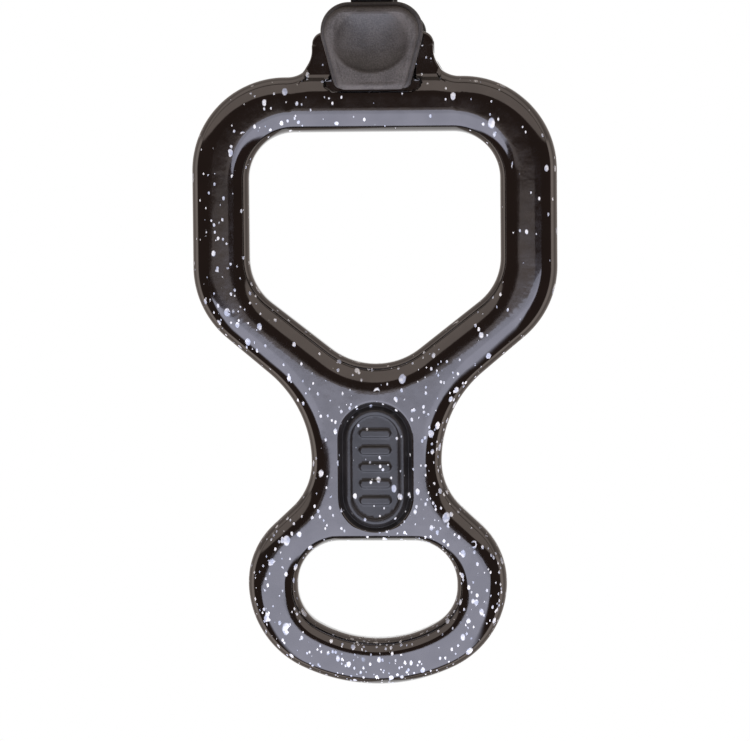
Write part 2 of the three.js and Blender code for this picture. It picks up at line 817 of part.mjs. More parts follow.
class Helix extends THREE.Curve {
  constructor(radius, low_z, high_z, turns) {
    super();
    Object.assign(this, { radius, low_z, high_z, turns });
  }

  getPoint(share, target = new THREE.Vector3()) {
    const angle = share * this.turns * 2 * Math.PI;
    const z = this.low_z + share * (this.high_z - this.low_z);
    return target.set(this.radius * Math.cos(angle), this.radius * Math.sin(angle), z);
  }
}

function gateSpring() {
  const low_z = spring_bore_floor_z + spring_end_gap + spring_wire_radius;
  const roof_z = pivot_z + heel_rise - follower_gap - follower_roof;
  const inner = follower_radius - follower_wall;
  const high_z = roof_z - inner + follower_wall - spring_end_gap - spring_wire_radius;
  const path = new Helix(spring_coil_radius, low_z, high_z, spring_turns);
  const steps = spring_turns * spring_steps_per_turn;
  const line = path.getPoints(steps);
  const apart = line.flatMap((point, i) =>
    line.slice(i + spring_steps_per_turn / 2).map((other) => point.distanceTo(other)),
  );
  const gap = Math.min(...apart) - 2 * spring_wire_radius;
  console.log(`spring: least gap to itself ${gap.toFixed(2)} mm`);
  const section = [];
  for (let side = 0; side < spring_sides; side += 1) {
    const angle = (2 * Math.PI * side) / spring_sides;
    const corner = new THREE.Vector2(Math.cos(angle), Math.sin(angle));
    section.push(corner.multiplyScalar(spring_wire_radius));
  }
  const geometry = new THREE.ExtrudeGeometry(new THREE.Shape(section), {
    steps,
    extrudePath: path,
    bevelEnabled: false,
  });
  geometry.translate(0, follower_y, 0);
  return toSolid(geometry);
}

// Assembly: the hook's inner top, where a carabiner bears, is the origin

const lacquer = { color: 0x14110f, roughness: 0.15, metalness: 0 };
const black_nylon = { color: 0x191818, roughness: 0.55, metalness: 0 };
const grey_plastic = { color: 0x77767b, roughness: 0.7, metalness: 0 };
const steel = { color: 0xb9bbbe, roughness: 0.3, metalness: 1 };

const pieces = [
  ['descender_body', descenderBody(), lacquer],
  ['keeper_hook', keeperHook(), black_nylon],
  ['gate_arm', gateArm(), black_nylon],
  ['pad_frame', padFrame(), grey_plastic],
  ['thumb_pad', thumbPad(), grey_plastic],
  ['pad_screw_upper', padScrew(upper_screw.z, upper_screw.head_y, 0), steel],
  ['pad_screw_lower', padScrew(lower_screw.z, lower_screw.head_y, 0), steel],
  ['gate_pin', crossBar(gate_pin_radius, pin_half_length, pivot_y, pivot_z), steel],
  ['hook_pin', crossBar(hook_pin_radius, pin_half_length, hook_pin_y, hook_pin_z), steel],
  ['spring_follower', springFollower(), steel],
  ['gate_spring', gateSpring(), steel],
];

const descender = new THREE.Group();
pieces.forEach(([name, solid, look]) => {
  const mesh = new THREE.Mesh(toGeometry(solid), new THREE.MeshStandardMaterial(look));
  mesh.name = name;
  mesh.position.set(0, -(nose_back_y + spine_front_y) / 2, -hook_eye_top_z);
  descender.add(mesh);
});

export default descender;
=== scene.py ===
import math

import bmesh
import bpy
import numpy as np
from mathutils import Matrix, Vector
from mathutils.geometry import delaunay_2d_cdt

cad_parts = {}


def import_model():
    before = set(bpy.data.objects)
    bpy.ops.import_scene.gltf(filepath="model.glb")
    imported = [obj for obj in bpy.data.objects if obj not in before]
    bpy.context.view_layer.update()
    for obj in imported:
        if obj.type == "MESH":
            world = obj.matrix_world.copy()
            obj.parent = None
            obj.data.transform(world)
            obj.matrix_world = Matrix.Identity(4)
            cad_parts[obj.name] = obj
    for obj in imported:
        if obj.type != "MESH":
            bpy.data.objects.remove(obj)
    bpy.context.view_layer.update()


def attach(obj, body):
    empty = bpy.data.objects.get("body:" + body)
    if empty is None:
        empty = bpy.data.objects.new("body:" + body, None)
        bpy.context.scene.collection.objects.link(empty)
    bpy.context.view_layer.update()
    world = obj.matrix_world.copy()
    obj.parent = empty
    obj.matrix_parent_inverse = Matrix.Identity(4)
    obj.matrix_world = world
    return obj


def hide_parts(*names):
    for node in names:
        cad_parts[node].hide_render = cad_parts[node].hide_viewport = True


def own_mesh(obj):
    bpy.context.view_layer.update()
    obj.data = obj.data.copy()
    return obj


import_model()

# Figure eight descender. Shapes are in millimetres from the middle of the big ring, as in the
# part's source; to_row() turns them into metres of the row frame.
ROW_SHIFT = np.array([0.0, -1.55, -66.0])
MM = 0.001
SAME_POINT = 0.002
TINY = 1e-9  # keeps a division off zero
WELD = 1e-7  # metres within which two vertices are one
ENCLOSED = 1  # triangulation output: only what the outlines enclose
FLAT_ERROR = 1e-5  # of the triangulation
FEATURE_MARGIN = 0.12  # features keep this far off a face's border

# Fineness
ARC_STEP = math.radians(4)
FINE_ARC_STEP = math.radians(9)
RING_SPACING = 0.9
SECTION_STEPS = 12
ROUND_STEPS = 4
FIELD_SPACING = 0.42
RELIEF_SPACING = 0.34
BODY_SPACING = 0.5
RULER_ARC_STEP = math.radians(2)  # outlines that distances are measured to
SHARP = 42  # edges sharper than this, in degrees, stay sharp
BODY_SHARP = 50  # the same on the forging and the pad


# ---------------- outlines

def round_outline(corners, spacing=RING_SPACING, arc_step=ARC_STEP):
    """Points and left normals of an outline; its corners are [x, z, radius]."""
    places = np.array([corner[:2] for corner in corners], float)
    count = len(corners)
    turns = []
    for i in range(count):
        into = places[i] - places[i - 1]
        out = places[(i + 1) % count] - places[i]
        bend = math.atan2(into[0] * out[1] - into[1] * out[0], into @ out)
        turns.append((into, out, bend, corners[i][2] * math.tan(abs(bend) / 2)))
    points = []
    normals = []
    for i in range(count):
        into, out, bend, reach = turns[i]
        before = turns[i - 1][3]
        after = turns[(i + 1) % count][3]
        fit = min(
            1,
            np.linalg.norm(into) / (reach + before + TINY),
            np.linalg.norm(out) / (reach + after + TINY),
        )
        radius = corners[i][2] * fit
        unit = into / np.linalg.norm(into)
        left = np.array([-unit[1], unit[0]])
        side = math.copysign(1, bend)
        centre = places[i] - unit * reach * fit + left * side * radius
        steps = max(1, math.ceil(abs(bend) / arc_step), math.ceil(abs(bend) * radius / spacing))
        for step in range(steps + 1):
            angle = bend * step / steps
            cos, sin = math.cos(angle), math.sin(angle)
            normal = np.array([[cos, -sin], [sin, cos]]) @ left
            points.append(centre - normal * side * radius)
            normals.append(normal)
    keep = [i for i, point in enumerate(points)
            if np.linalg.norm(point - points[i - 1]) > SAME_POINT]
    points = [points[i] for i in keep]
    normals = [normals[i] for i in keep]
    full_points = []
    full_normals = []
    for i, point in enumerate(points):
        after = points[(i + 1) % len(points)]
        pieces = max(1, math.ceil(np.linalg.norm(after - point) / spacing))
        for piece in range(pieces):
            full_points.append(point + (after - point) * piece / pieces)
            full_normals.append(normals[i])
    return np.array(full_points), np.array(full_normals)


def mirrored(right):
    """The whole outline from its right half, listed from the bottom up."""
    return list(right) + [[-x, z, radius] for x, z, radius in reversed(right) if x > 0]


def outline_distance(points, loop):
    """Distance of each point to a closed loop."""
    ends = np.roll(loop, -1, axis=0)
    along = ends - loop
    lengths = np.maximum((along ** 2).sum(axis=1), TINY)
    away = points[:, None, :] - loop[None, :, :]
    share = np.clip((away * along[None]).sum(axis=2) / lengths[None], 0, 1)
    return np.sqrt(((away - share[..., None] * along[None]) ** 2).sum(axis=2).min(axis=1))


def inside(points, loop):
    """Whether each point is inside a closed loop."""
    x, z = points[:, 0][:, None], points[:, 1][:, None]
    ends = np.roll(loop, -1, axis=0)
    low, high = loop[:, 1][None], ends[:, 1][None]
    crosses = (low > z) != (high > z)
    rise = np.where(high == low, 1, high - low)
    at = loop[:, 0][None] + (z - low) / rise * (ends[:, 0] - loop[:, 0])[None]
    return (crosses & (x < at)).sum(axis=1) % 2 == 1


def signed_distance(points, loop):
    """Distance to a loop, negative outside it."""
    return np.where(inside(points, loop), 1, -1) * outline_distance(points, loop)


def smooth_step(value, low, high):
    share = np.clip((value - low) / (high - low), 0, 1)
    return share * share * (3 - 2 * share)


def smooth_max(a, b, width):
    blend = np.maximum(width - np.abs(a - b), 0) / width
    return np.maximum(a, b) + blend * blend * width / 4


def smooth_min(a, b, width):
    return -smooth_max(-a, -b, width)


# ---------------- meshes

def to_row(points):
    return (np.asarray(points, float) + ROW_SHIFT) * MM


def front_plane(points, heights):
    """Points of a front outline; heights grow toward the viewer."""
    return np.column_stack([points[:, 0], -heights, points[:, 1]])


def side_plane(points, heights):
    """Points of a side outline in Y and Z; heights grow along X."""
    return np.column_stack([heights, points[:, 0], points[:, 1]])


class Shell:
    """Collects the vertices and faces of a closed surface."""

    def __init__(self, plane):
        self.plane = plane
        self.parts = []
        self.faces = []
        self.count = 0

    def add(self, points, heights):
        points = np.asarray(points, float)
        heights = np.broadcast_to(np.asarray(heights, float), (len(points),))
        self.parts.append(self.plane(points, heights))
        first = self.count
        self.count += len(points)
        return np.arange(first, self.count)

    def bridge(self, one, two):
        for a, b, c, d in zip(one, np.roll(one, -1), np.roll(two, -1), two):
            self.faces.append((a, b, c, d))

    def cap(self, loops, features, height):
        """Fills between loops of (points, indices).

        Features are (points, closed): True for a loop, False for a line, None for loose points.
        """
        border = [loop for loop, _ in loops]
        indices = np.concatenate([index for _, index in loops])
        edges = []
        total = 0
        for loop in border:
            size = len(loop)
            edges += [(total + i, total + (i + 1) % size) for i in range(size)]
            total += size
        everything = list(border)
        for line, closed in features:
            good = within(line, border, FEATURE_MARGIN)
            names = np.cumsum(good) - 1 + total
            size = len(line)
            if closed is not None:
                edges += [
                    (int(names[i]), int(names[(i + 1) % size]))
                    for i in range(size if closed else size - 1)
                    if good[i] and good[(i + 1) % size]
                ]
            everything.append(line[good])
            total += int(good.sum())
        flat = np.concatenate(everything)
        found, found_edges, triangles, origins, edge_origins, _ = delaunay_2d_cdt(
            [Vector(p) for p in flat], edges, [], ENCLOSED, FLAT_ERROR)
        out = np.array([list(v) for v in found])
        names = np.full(len(out), -1)
        border_count = len(indices)
        for i, sources in enumerate(origins):
            on_border = [s for s in sources if s < border_count]
            if on_border:
                names[i] = indices[on_border[0]]
        fresh = names < 0
        triangles = np.array(triangles)
        fences = {tuple(sorted(edge)) for edge, sources in zip(found_edges, edge_origins)
                  if min(sources, default=border_count) < border_count}
        kept = triangles[in_border(out, triangles, fences, border)]
        used = np.zeros(len(out), bool)
        used[kept.ravel()] = True
        fresh &= used
        names[fresh] = self.add(out[fresh], height(out[fresh]))
        self.faces += [tuple(names[list(face)]) for face in kept]

    def mesh(self):
        data = bpy.data.meshes.new("shell")
        places = to_row(np.concatenate(self.parts))
        data.from_pydata(places.tolist(), [], [tuple(int(i) for i in face) for face in self.faces])
        return data


def in_border(points, triangles, fences, border):
    """Which triangles lie within the border; the fences part one region from the next."""
    corners = points[triangles]
    one, two = corners[:, 1] - corners[:, 0], corners[:, 2] - corners[:, 0]
    area = np.abs(one[:, 0] * two[:, 1] - one[:, 1] * two[:, 0])
    middle_in = within(corners.mean(axis=1), border, 0)
    sides = [[tuple(sorted((face[i], face[i - 1]))) for i in range(3)]
             for face in triangles.tolist()]
    beside = {}
    for number, edges in enumerate(sides):
        for edge in edges:
            if edge not in fences:
                beside.setdefault(edge, []).append(number)
    seen = np.zeros(len(triangles), bool)
    kept = np.zeros(len(triangles), bool)
    for start in range(len(triangles)):
        if seen[start]:
            continue
        seen[start] = True
        members = [start]
        for number in members:
            for edge in sides[number]:
                for other in beside.get(edge, ()):
                    if not seen[other]:
                        seen[other] = True
                        members.append(other)
        # the largest triangle decides for its region, since the middle of a sliver is unsure
        members = np.array(members)
        kept[members] = middle_in[members[area[members].argmax()]]
    return kept


def within(points, border, margin):
    """Whether points are inside the first loop and outside the others, a margin off all."""
    good = inside(points, border[0])
    for loop in border[1:]:
        good &= ~inside(points, loop)
    if margin:
        for loop in border:
            good &= outline_distance(points, loop) > margin
    return good


def make_object(name, data, sharp=SHARP):
    """An object whose faces point outward, smooth but for sharp edges."""
    work = bmesh.new()
    work.from_mesh(data)
    bmesh.ops.remove_doubles(work, verts=work.verts, dist=WELD)
    bmesh.ops.recalc_face_normals(work, faces=work.faces)
    open_edges = sum(1 for edge in work.edges if len(edge.link_faces) != 2)
    work.to_mesh(data)
    work.free()
    if open_edges:
        print(f"{name}: {open_edges} edges without two faces")
    shade(data, sharp)
    piece = bpy.data.objects.new(name, data)
    bpy.context.scene.collection.objects.link(piece)
    return piece


def shade(data, sharp):
    data.shade_smooth()
    data.set_sharp_from_angle(angle=math.radians(sharp))


def combined(piece, others, operation, sharp=SHARP):
    """The piece after joining or cutting with others, which are removed."""
    for other in others:
        modifier = piece.modifiers.new("part", "BOOLEAN")
        modifier.operation = operation
        modifier.solver = "MANIFOLD"
        modifier.object = other
    bpy.context.view_layer.update()
    evaluated = piece.evaluated_get(bpy.context.evaluated_depsgraph_get())
    data = bpy.data.meshes.new_from_object(evaluated)
    piece.modifiers.clear()
    piece.data = data
    for other in others:
        bpy.data.objects.remove(other)
    shade(piece.data, sharp)
    return piece


def quarter(radius):
    """Insets and rises of a quarter round, from the outline to the face."""
    angles = [math.pi / 2 * step / ROUND_STEPS for step in range(1, ROUND_STEPS + 1)]
    return [(radius * (1 - math.cos(a)), radius * math.sin(a)) for a in angles]


def rounded_slab(name, corners, low, high, low_round, high_round, plane=side_plane, spacing=1.2,
                 top=None, features=(), sharp=SHARP):
    """An outline between two heights with round edges; top(points) may lower the upper face."""
    points, normals = round_outline(corners, spacing, FINE_ARC_STEP)
    shell = Shell(plane)
    top = top or (lambda at: np.full(len(at), high))
    for level, edge, sign in ((low, low_round, -1), (high, high_round, 1)):
        start = level - sign * edge
        names = [shell.add(points, start)]
        last = points
        if edge > 0:
            for inset, rise in quarter(edge):
                last = points + normals * inset
                names.append(shell.add(last, start + sign * rise))
                shell.bridge(names[-2], names[-1])
        if sign < 0:
            first_rim = names[0]
            shell.cap([(last, names[-1])], (), lambda at: np.full(len(at), low))
        else:
            shell.bridge(first_rim, names[0])
            shell.cap([(last, names[-1])], features, top)
    return make_object(name, shell.mesh(), sharp)


def turned(name, profile, steps, centre, axis="Z", sharp=SHARP):
    """A turned solid; the profile is [radius, height] from one end of the axis to the other."""
    verts = []
    faces = []
    rows = []
    for radius, height in profile:
        if radius < SAME_POINT:
            rows.append([len(verts)])
            verts.append((0, 0, height))
            continue
        rows.append(list(range(len(verts), len(verts) + steps)))
        for step in range(steps):
            angle = 2 * math.pi * step / steps
            verts.append((radius * math.cos(angle), radius * math.sin(angle), height))
    for one, two in zip(rows, rows[1:]):
        for step in range(steps):
            face = list(dict.fromkeys([one[step % len(one)], one[(step + 1) % len(one)],
                                       two[(step + 1) % len(two)], two[step % len(two)]]))
            if len(face) > 2:
                faces.append(face)
    turns = {"Z": Matrix(), "X": Matrix.Rotation(math.pi / 2, 4, "Y"),
             "Y": Matrix.Rotation(-math.pi / 2, 4, "X")}
    places = np.array([list(turns[axis] @ Vector(v)) for v in verts]) + np.array(centre, float)
    data = bpy.data.meshes.new(name)
    data.from_pydata(to_row(places).tolist(), [], faces)
    return make_object(name, data, sharp)


def bar(name, radius, half, y, z, steps=48, edge=0.0):
    """A round bar along X, with broken edges if edge isn't 0."""
    broken = [(radius, -half + edge), (radius, half - edge)] if edge else []
    profile = [(0, -half), (radius - edge, -half), *broken, (radius - edge, half), (0, half)]
    return turned(name, profile, steps, (0, y, z), "X")


# ---------------- forged body

HALF = 5.2  # half thickness of the forging
EDGE = 4.8  # width of the curve from the edge to the face
WIDE_EDGE = 5.95  # the same below the big hole
EYE_EDGE = 3.6  # the same round the eye
NARROW_EDGE = 1.5  # the same on the shoulders and over the eye
POWER = 2.5  # of the curve, where 2 is a circle
# where one width turns into another: heights, or distances from the middle line
WIDE_BELOW = (-19, -9)
EYE_TOP = (-74, -71)
EYE_TOP_HALF = (9.5, 14.5)
SHOULDERS = (15.2, 21.5)
TOP_EDGE = 31
NECK = 3.2  # half thickness of ears and neck
NECK_SKIN = 0.05  # the neck is full to this far outside its outline,
NECK_FALL = 5  # and drops with this slope from there
NECK_ROUND = 0.45
SLOT_ROUND = 0.3
POCKET = 3.1  # half thickness behind the thumb piece
BLEND = 1.3  # width of the fillet between neck and ring
SMALL_BLEND = 0.1
NEAR_NECK = 22  # the neck shapes the faces above this height,
NEAR_EYE = -55  # and the eye's edge below this one
EAR_FOOT = (33.2, 34.4)  # heights over which the ring's edge turns into the ears'
EAR_OUTSIDE = 15.3
SLOT_HALF = 8.75
SLOT_FLOOR = 30.5
SLOT_SIDE = (8.0, 8.6)
RING_CORNERS = [
    [0, -101.48, 37.5], [27.84, -89.2, 20.6], [27.84, -68.62, 17.2], [14.0, -55.7, 13.2],
    [14.0, -38.41, 25], [39.05, -17.3, 20], [39.05, 32.5, 20], [17.0, 32.5, 6], [13.6, 32.9, 6],
]
BODY_CORNERS = RING_CORNERS[:-1] + [
    [14.7, 33.65, 1.5], [12.95, 36.6, 5.4], [12.95, 42, 2.6], [7.9, 42, 0.6], [7.9, 31, 0.8],
]
NECK_CORNERS = [[14.7, 27, 0], [14.7, 33.6, 0], [12.95, 36.6, 5.4], [12.95, 42, 2.6]]
HOLE_CORNERS = [[0, -33.0, 15.4], [26.85, -12.0, 12], [26.85, 20.6, 9.9]]
EYE_CORNERS = [[0, -91.95, 25.1], [17.12, -82.0, 8.9], [17.12, -67.04, 9.15]]
POCKET_CORNERS = [
    [8.4, 29.2, 0.8], [10.2, 30.3, 0.5], [10.2, 31.7, 0.4], [9.1, 31.9, 0.3], [9.1, 46, 0],
]
POCKET_EDGE = 0.22
OPENING = math.radians(28)
LEAN_Z = 39.25  # the ears' front leans back above this height
LEAN = math.tan(OPENING)
EAR_STEP = 1.2  # the ears' upper front is set back, so that the frame can swing
CLEAR = 0.3
EAR_STEP_LOW = 39.0
EAR_STEP_HIGH = 39.1
EAR_MIDDLES = (8.1, 12.9)
NECK_GRID = (16.5, 26, 42)
EYE_GRID = (16.5, -68, -59)

PIVOT = (-0.6, 38.6)  # gate pin: Y and Z
HOOK_PIN = (1.0, 34.6)
GATE_BORE = 1.37
HOOK_BORE = 1.02
BODY_BORE_HALF = 18.7  # half lengths of the cutting bars
HOOK_BORE_HALF = 7.9
ARM_BORE_HALF = 9.1
PIN_HALF = 12.7

OVAL_Z = -50.8
OVAL_STRAIGHT = 6.05
OVAL_REACH = 8.3  # loose points round the relief keep this far off its middle line
OVAL_TALL = 13.5
GROOVE_MIDDLE = 7.05
GROOVE_HALF = 0.92
GROOVE_DEPTH = 1.0
RIM_INNER = 5.1
FLOOR_DROP = 0.35
FLOOR_EDGE = 0.16
RIB_PITCH = 3.6
RIB_HALF_LENGTH = 2.45
RIB_RADIUS = 0.85
RIB_EDGE = 0.17
RIBS = range(-2, 3)
GROOVE_SHAPE = (  # depth over the distance from the groove's middle
    [0, 0.05, 0.12, 0.5, 0.75, 0.9, 1.0, 1.12],
    [1.0, 0.99, 0.93, 0.55, 0.29, 0.13, 0.04, 0],
)
EDGE_LINES = (-1, -0.5, 0, 0.5, 1)


def section(inset, edge=EDGE):
    """Half thickness of a forged bar at a distance from its edge."""
    share = 1 - np.clip(inset / edge, 0, 1)
    return HALF * (1 - share ** POWER) ** (1 / POWER)


def segment_distance(points, x_half, z_half, middle):
    """Distance to an upright or level line through (0, middle)."""
    dx = np.maximum(np.abs(points[:, 0]) - x_half, 0)
    dz = np.maximum(np.abs(points[:, 1] - middle) - z_half, 0)
    return np.hypot(dx, dz)


def oval_drop(points):
    """How far the oval relief lies below the waist's face."""
    reach = segment_distance(points, 0, OVAL_STRAIGHT, OVAL_Z)
    across = np.abs(reach - GROOVE_MIDDLE) / GROOVE_HALF
    groove = GROOVE_DEPTH * np.interp(across, GROOVE_SHAPE[0], GROOVE_SHAPE[1])
    floor = FLOOR_DROP * (1 - smooth_step(reach, RIM_INNER - FLOOR_EDGE, RIM_INNER + FLOOR_EDGE))
    for number in RIBS:
        rib = segment_distance(points, RIB_HALF_LENGTH, 0, OVAL_Z + number * RIB_PITCH)
        floor = floor * smooth_step(rib, RIB_RADIUS - RIB_EDGE, RIB_RADIUS + RIB_EDGE)
    return groove + floor


def loop_line(corners, spacing=0.4, shift=0.0):
    points, normals = round_outline(corners, spacing, FINE_ARC_STEP)
    return points + normals * shift


def oval_features():
    outward = GROOVE_SHAPE[0][1:]
    lines = [GROOVE_MIDDLE + share * GROOVE_HALF
             for share in [-share for share in outward[::-1]] + outward + [1.4]]
    lines += [RIM_INNER + share * FLOOR_EDGE for share in EDGE_LINES]
    features = []
    for reach in lines:
        ends = OVAL_STRAIGHT + reach
        features.append((loop_line(mirrored([
            [reach, OVAL_Z - ends, reach], [reach, OVAL_Z + ends, reach],
        ]), RELIEF_SPACING), True))
    for number in RIBS:
        middle = OVAL_Z + number * RIB_PITCH
        for share in EDGE_LINES:
            radius = RIB_RADIUS + share * RIB_EDGE
            half = RIB_HALF_LENGTH + radius
            features.append((loop_line(mirrored([
                [half, middle - radius, radius], [half, middle + radius, radius],
            ]), RELIEF_SPACING), True))
    return features


def grid(x_half, low, high, spacing):
    xs = np.arange(-x_half, x_half + spacing / 2, spacing)
    zs = np.arange(low, high, spacing)
    rows = [np.column_stack([xs + (spacing / 2 if i % 2 else 0), np.full(len(xs), z)])
            for i, z in enumerate(zs)]
    return np.concatenate(rows)


def pin_bores(half):
    return [bar("bore", GATE_BORE, half, *PIVOT, 64), bar("bore", HOOK_BORE, half, *HOOK_PIN, 48)]


def forged_body():
    body, body_normals = round_outline(mirrored(BODY_CORNERS), BODY_SPACING)
    hole, hole_normals = round_outline(mirrored(HOLE_CORNERS))
    eye, eye_normals = round_outline(mirrored(EYE_CORNERS))
    ring, hole_line, eye_line = [
        round_outline(mirrored(corners), BODY_SPACING, RULER_ARC_STEP)[0]
        for corners in (RING_CORNERS, HOLE_CORNERS, EYE_CORNERS)]
    neck, pocket = [round_outline(mirrored(corners), BODY_SPACING, FINE_ARC_STEP)[0]
                    for corners in (NECK_CORNERS, POCKET_CORNERS)]

    def face(points, base, front):
        """Half thickness at points; base is the bare ring's, or None to work it out."""
        near = points[:, 1] > NEAR_NECK
        height = np.full(len(points), HALF) if base is None else np.array(base, float)
        low = points[:, 1] < NEAR_EYE
        if base is None and low.any():
            height[low] = section(outline_distance(points[low], eye_line), EYE_EDGE)
        at = points[near]
        if len(at):
            if base is None:
                to_ring = signed_distance(at, ring)
                to_hole = outline_distance(at, hole_line)
                bare = np.where(to_ring > 0, section(np.minimum(to_ring, to_hole)), to_ring)
            else:
                bare = height[near]
            in_neck = signed_distance(at, neck)
            plate = NECK + np.minimum(in_neck + NECK_SKIN, 0) * NECK_FALL
            shaped = smooth_max(bare, plate, BLEND)
            cut = smooth_step(signed_distance(at, pocket), -POCKET_EDGE, POCKET_EDGE)
            shaped += (np.minimum(shaped, POCKET) - shaped) * cut
            if front:
                leaned = NECK - (at[:, 1] - LEAN_Z) * LEAN
                step_share = smooth_step(at[:, 1], EAR_STEP_LOW, EAR_STEP_HIGH)
                stepped = NECK + CLEAR - (EAR_STEP + CLEAR) * step_share
                stepped = np.where(at[:, 1] > EAR_STEP_LOW, stepped, NECK + HALF)
                cut_back = smooth_min(leaned, stepped, SMALL_BLEND)
                shaped = smooth_min(shaped, cut_back, SMALL_BLEND)
            height[near] = shaped
        if front:
            height = height - oval_drop(points)
        return height

    aside, up = np.abs(body[:, 0]), body[:, 1]
    in_slot = (aside < SLOT_HALF) & (up > SLOT_FLOOR)
    on_ears = np.where(aside < EAR_OUTSIDE, smooth_step(up, *EAR_FOOT), 0)
    neck_share = np.where(in_slot, 1, on_ears)
    slot_share = np.where(in_slot | (up > EAR_FOOT[0]), 1 - smooth_step(aside, *SLOT_SIDE), 0)
    edge_round = NECK_ROUND + (SLOT_ROUND - NECK_ROUND) * slot_share
    near_neck = np.where(up > TOP_EDGE, 1 - smooth_step(aside, *SHOULDERS), 0)
    ring_width = EDGE + (NARROW_EDGE - EDGE) * near_neck
    width = ring_width + (edge_round - ring_width) * neck_share

    angles = np.linspace(0, math.pi / 2, SECTION_STEPS + 1)
    ring_insets = 1 - np.cos(angles) ** (2 / POWER)
    round_angles = np.linspace(0, math.pi / 2, SECTION_STEPS - 1)
    neck_insets = np.concatenate([[0, 0], 1 - np.cos(round_angles)])
    neck_rises = np.concatenate([[0, 0], np.sin(round_angles)])

    hole_width = EDGE + (WIDE_EDGE - EDGE) * (1 - smooth_step(hole[:, 1], *WIDE_BELOW))
    at_oval = smooth_step(eye[:, 1], *EYE_TOP)
    at_oval = at_oval * (1 - smooth_step(np.abs(eye[:, 0]), *EYE_TOP_HALF))
    eye_width = EYE_EDGE + (NARROW_EDGE - EYE_EDGE) * at_oval
    holes = ((hole, hole_normals, hole_width, hole_width), (eye, eye_normals, eye_width, EYE_EDGE))

    shell = Shell(front_plane)
    rims = [(loop, shell.add(loop, 0)) for loop in (body, hole, eye)]
    for front in (True, False):
        sign = 1 if front else -1
        loops = rims
        for step in range(1, SECTION_STEPS + 1):
            inset = ring_insets[step] * (1 - neck_share) + neck_insets[step] * neck_share
            points = body + body_normals * (width * inset)[:, None]
            ringed = face(points, section(width * ring_insets[step]), front)
            walled = face(points, None, front) + edge_round * (neck_rises[step] - 1)
            if step == 1:
                walled = walled / 2
            height = ringed * (1 - neck_share) + walled * neck_share
            further = [(points, shell.add(points, sign * height))]
            for loop, normals, widths, edges in holes:
                insets = widths * ring_insets[step]
                inner = loop - normals * insets[:, None]
                heights = section(insets, edges)
                if front:
                    heights = heights - oval_drop(inner)
                further.append((inner, shell.add(inner, sign * heights)))
            for (_, one), (_, two) in zip(loops, further):
                shell.bridge(one, two)
            loops = further
        features = []
        for shift in (-1, -0.6, -0.2, 0.2, 0.6, 1):
            features.append((loop_line(mirrored(POCKET_CORNERS), shift=shift * POCKET_EDGE), True))
        features.append((grid(*NECK_GRID, FIELD_SPACING), None))
        ear_x = np.arange(*EAR_MIDDLES, 0.4)
        for level in np.linspace(EAR_STEP_LOW, EAR_STEP_HIGH, 4):
            for side in (-1, 1):
                line = np.column_stack([side * ear_x, np.full(len(ear_x), level)])
                features.append((line, False))
        over_eye = grid(*EYE_GRID, FIELD_SPACING)
        off_oval = segment_distance(over_eye, 0, OVAL_STRAIGHT, OVAL_Z) > OVAL_REACH
        features.append((over_eye[off_oval] if front else over_eye, None))
        if front:
            features += oval_features()
            inner = grid(GROOVE_MIDDLE, OVAL_Z - OVAL_TALL, OVAL_Z + OVAL_TALL, 0.45)
            reach = segment_distance(inner, 0, OVAL_STRAIGHT, OVAL_Z)
            features.append((inner[reach < RIM_INNER - 0.3], None))
        shell.cap(loops, features, lambda at, f=front, s=sign: s * face(at, None, f))
    piece = make_object("body", shell.mesh(), BODY_SHARP)
    return combined(piece, pin_bores(BODY_BORE_HALF), "DIFFERENCE", BODY_SHARP)


# ---------------- thumb piece

PAD_BACK = -5.5
PAD_FRONT = -8.2
FRAME_BACK = -3.6
FRAME_FRONT = -5.2
PAD_CORNERS = [[7.0, 29.7, 1.7], [10.05, 41.3, 6], [9.7, 47.2, 5.1]]
FRAME_CORNERS = [[7.9, 29.9, 1.7], [10.95, 41.3, 6], [10.6, 48.25, 6]]
DISH_Z = 39.6
DISH_HALF = (7.9, 7.4)
DISH_LOW_HALF = 6.3
DISH_DEPTH = 1.95
DISH_POWER = 2.6
DISH_RIM = 0.75  # under 1: steep at the rim
REST_Z = 38.4  # the gentle hollow of the whole pad
REST_HALF = (10.6, 9.3)
REST_DEPTH = 0.45
PAD_GRID = (10.2, 29.6, 47.8)
PAD_SPACING = 0.3
SCREWS = ((46.2, -0.5), (34.0, -1.6))
SCREW_BITE = 0.85  # how far the screws reach into the pad
THREAD_PITCH = 0.35
THREAD_RADIUS = 0.9
HEAD_DEPTH = 0.9
HOLE_RADIUS = 1.02


def dish_drop(points):
    """The dish's depth: a soft-edged hollow, squarer at the top than at the bottom."""
    x = np.abs(points[:, 0]) / DISH_HALF[0]
    above = points[:, 1] - DISH_Z
    z = above / np.where(above > 0, DISH_HALF[1], DISH_LOW_HALF)
    power = 2 + 1.6 * smooth_step(z, -0.6, 0.8)
    size = (x ** power + np.abs(z) ** power) ** (1 / power)
    bowl = np.clip(1 - size ** DISH_POWER, 0, 1) ** DISH_RIM
    wide = (points[:, 0] / REST_HALF[0]) ** 2 + ((points[:, 1] - REST_Z) / REST_HALF[1]) ** 2
    return DISH_DEPTH * bowl + REST_DEPTH * np.clip(1 - wide, 0, 1)


def cutters():
    """What the screws and their heads clear in arm, frame and pad."""
    made = []
    for z, head_y in SCREWS:
        length = head_y - PAD_BACK + SCREW_BITE + 0.12
        profile = [(0, -length), (HOLE_RADIUS, -length), (HOLE_RADIUS, -HEAD_DEPTH), (1.82, 0),
                   (1.82, 4), (0, 4)]
        made.append(turned("cutter", profile, 32, (0, head_y, z), "Y"))
    return made


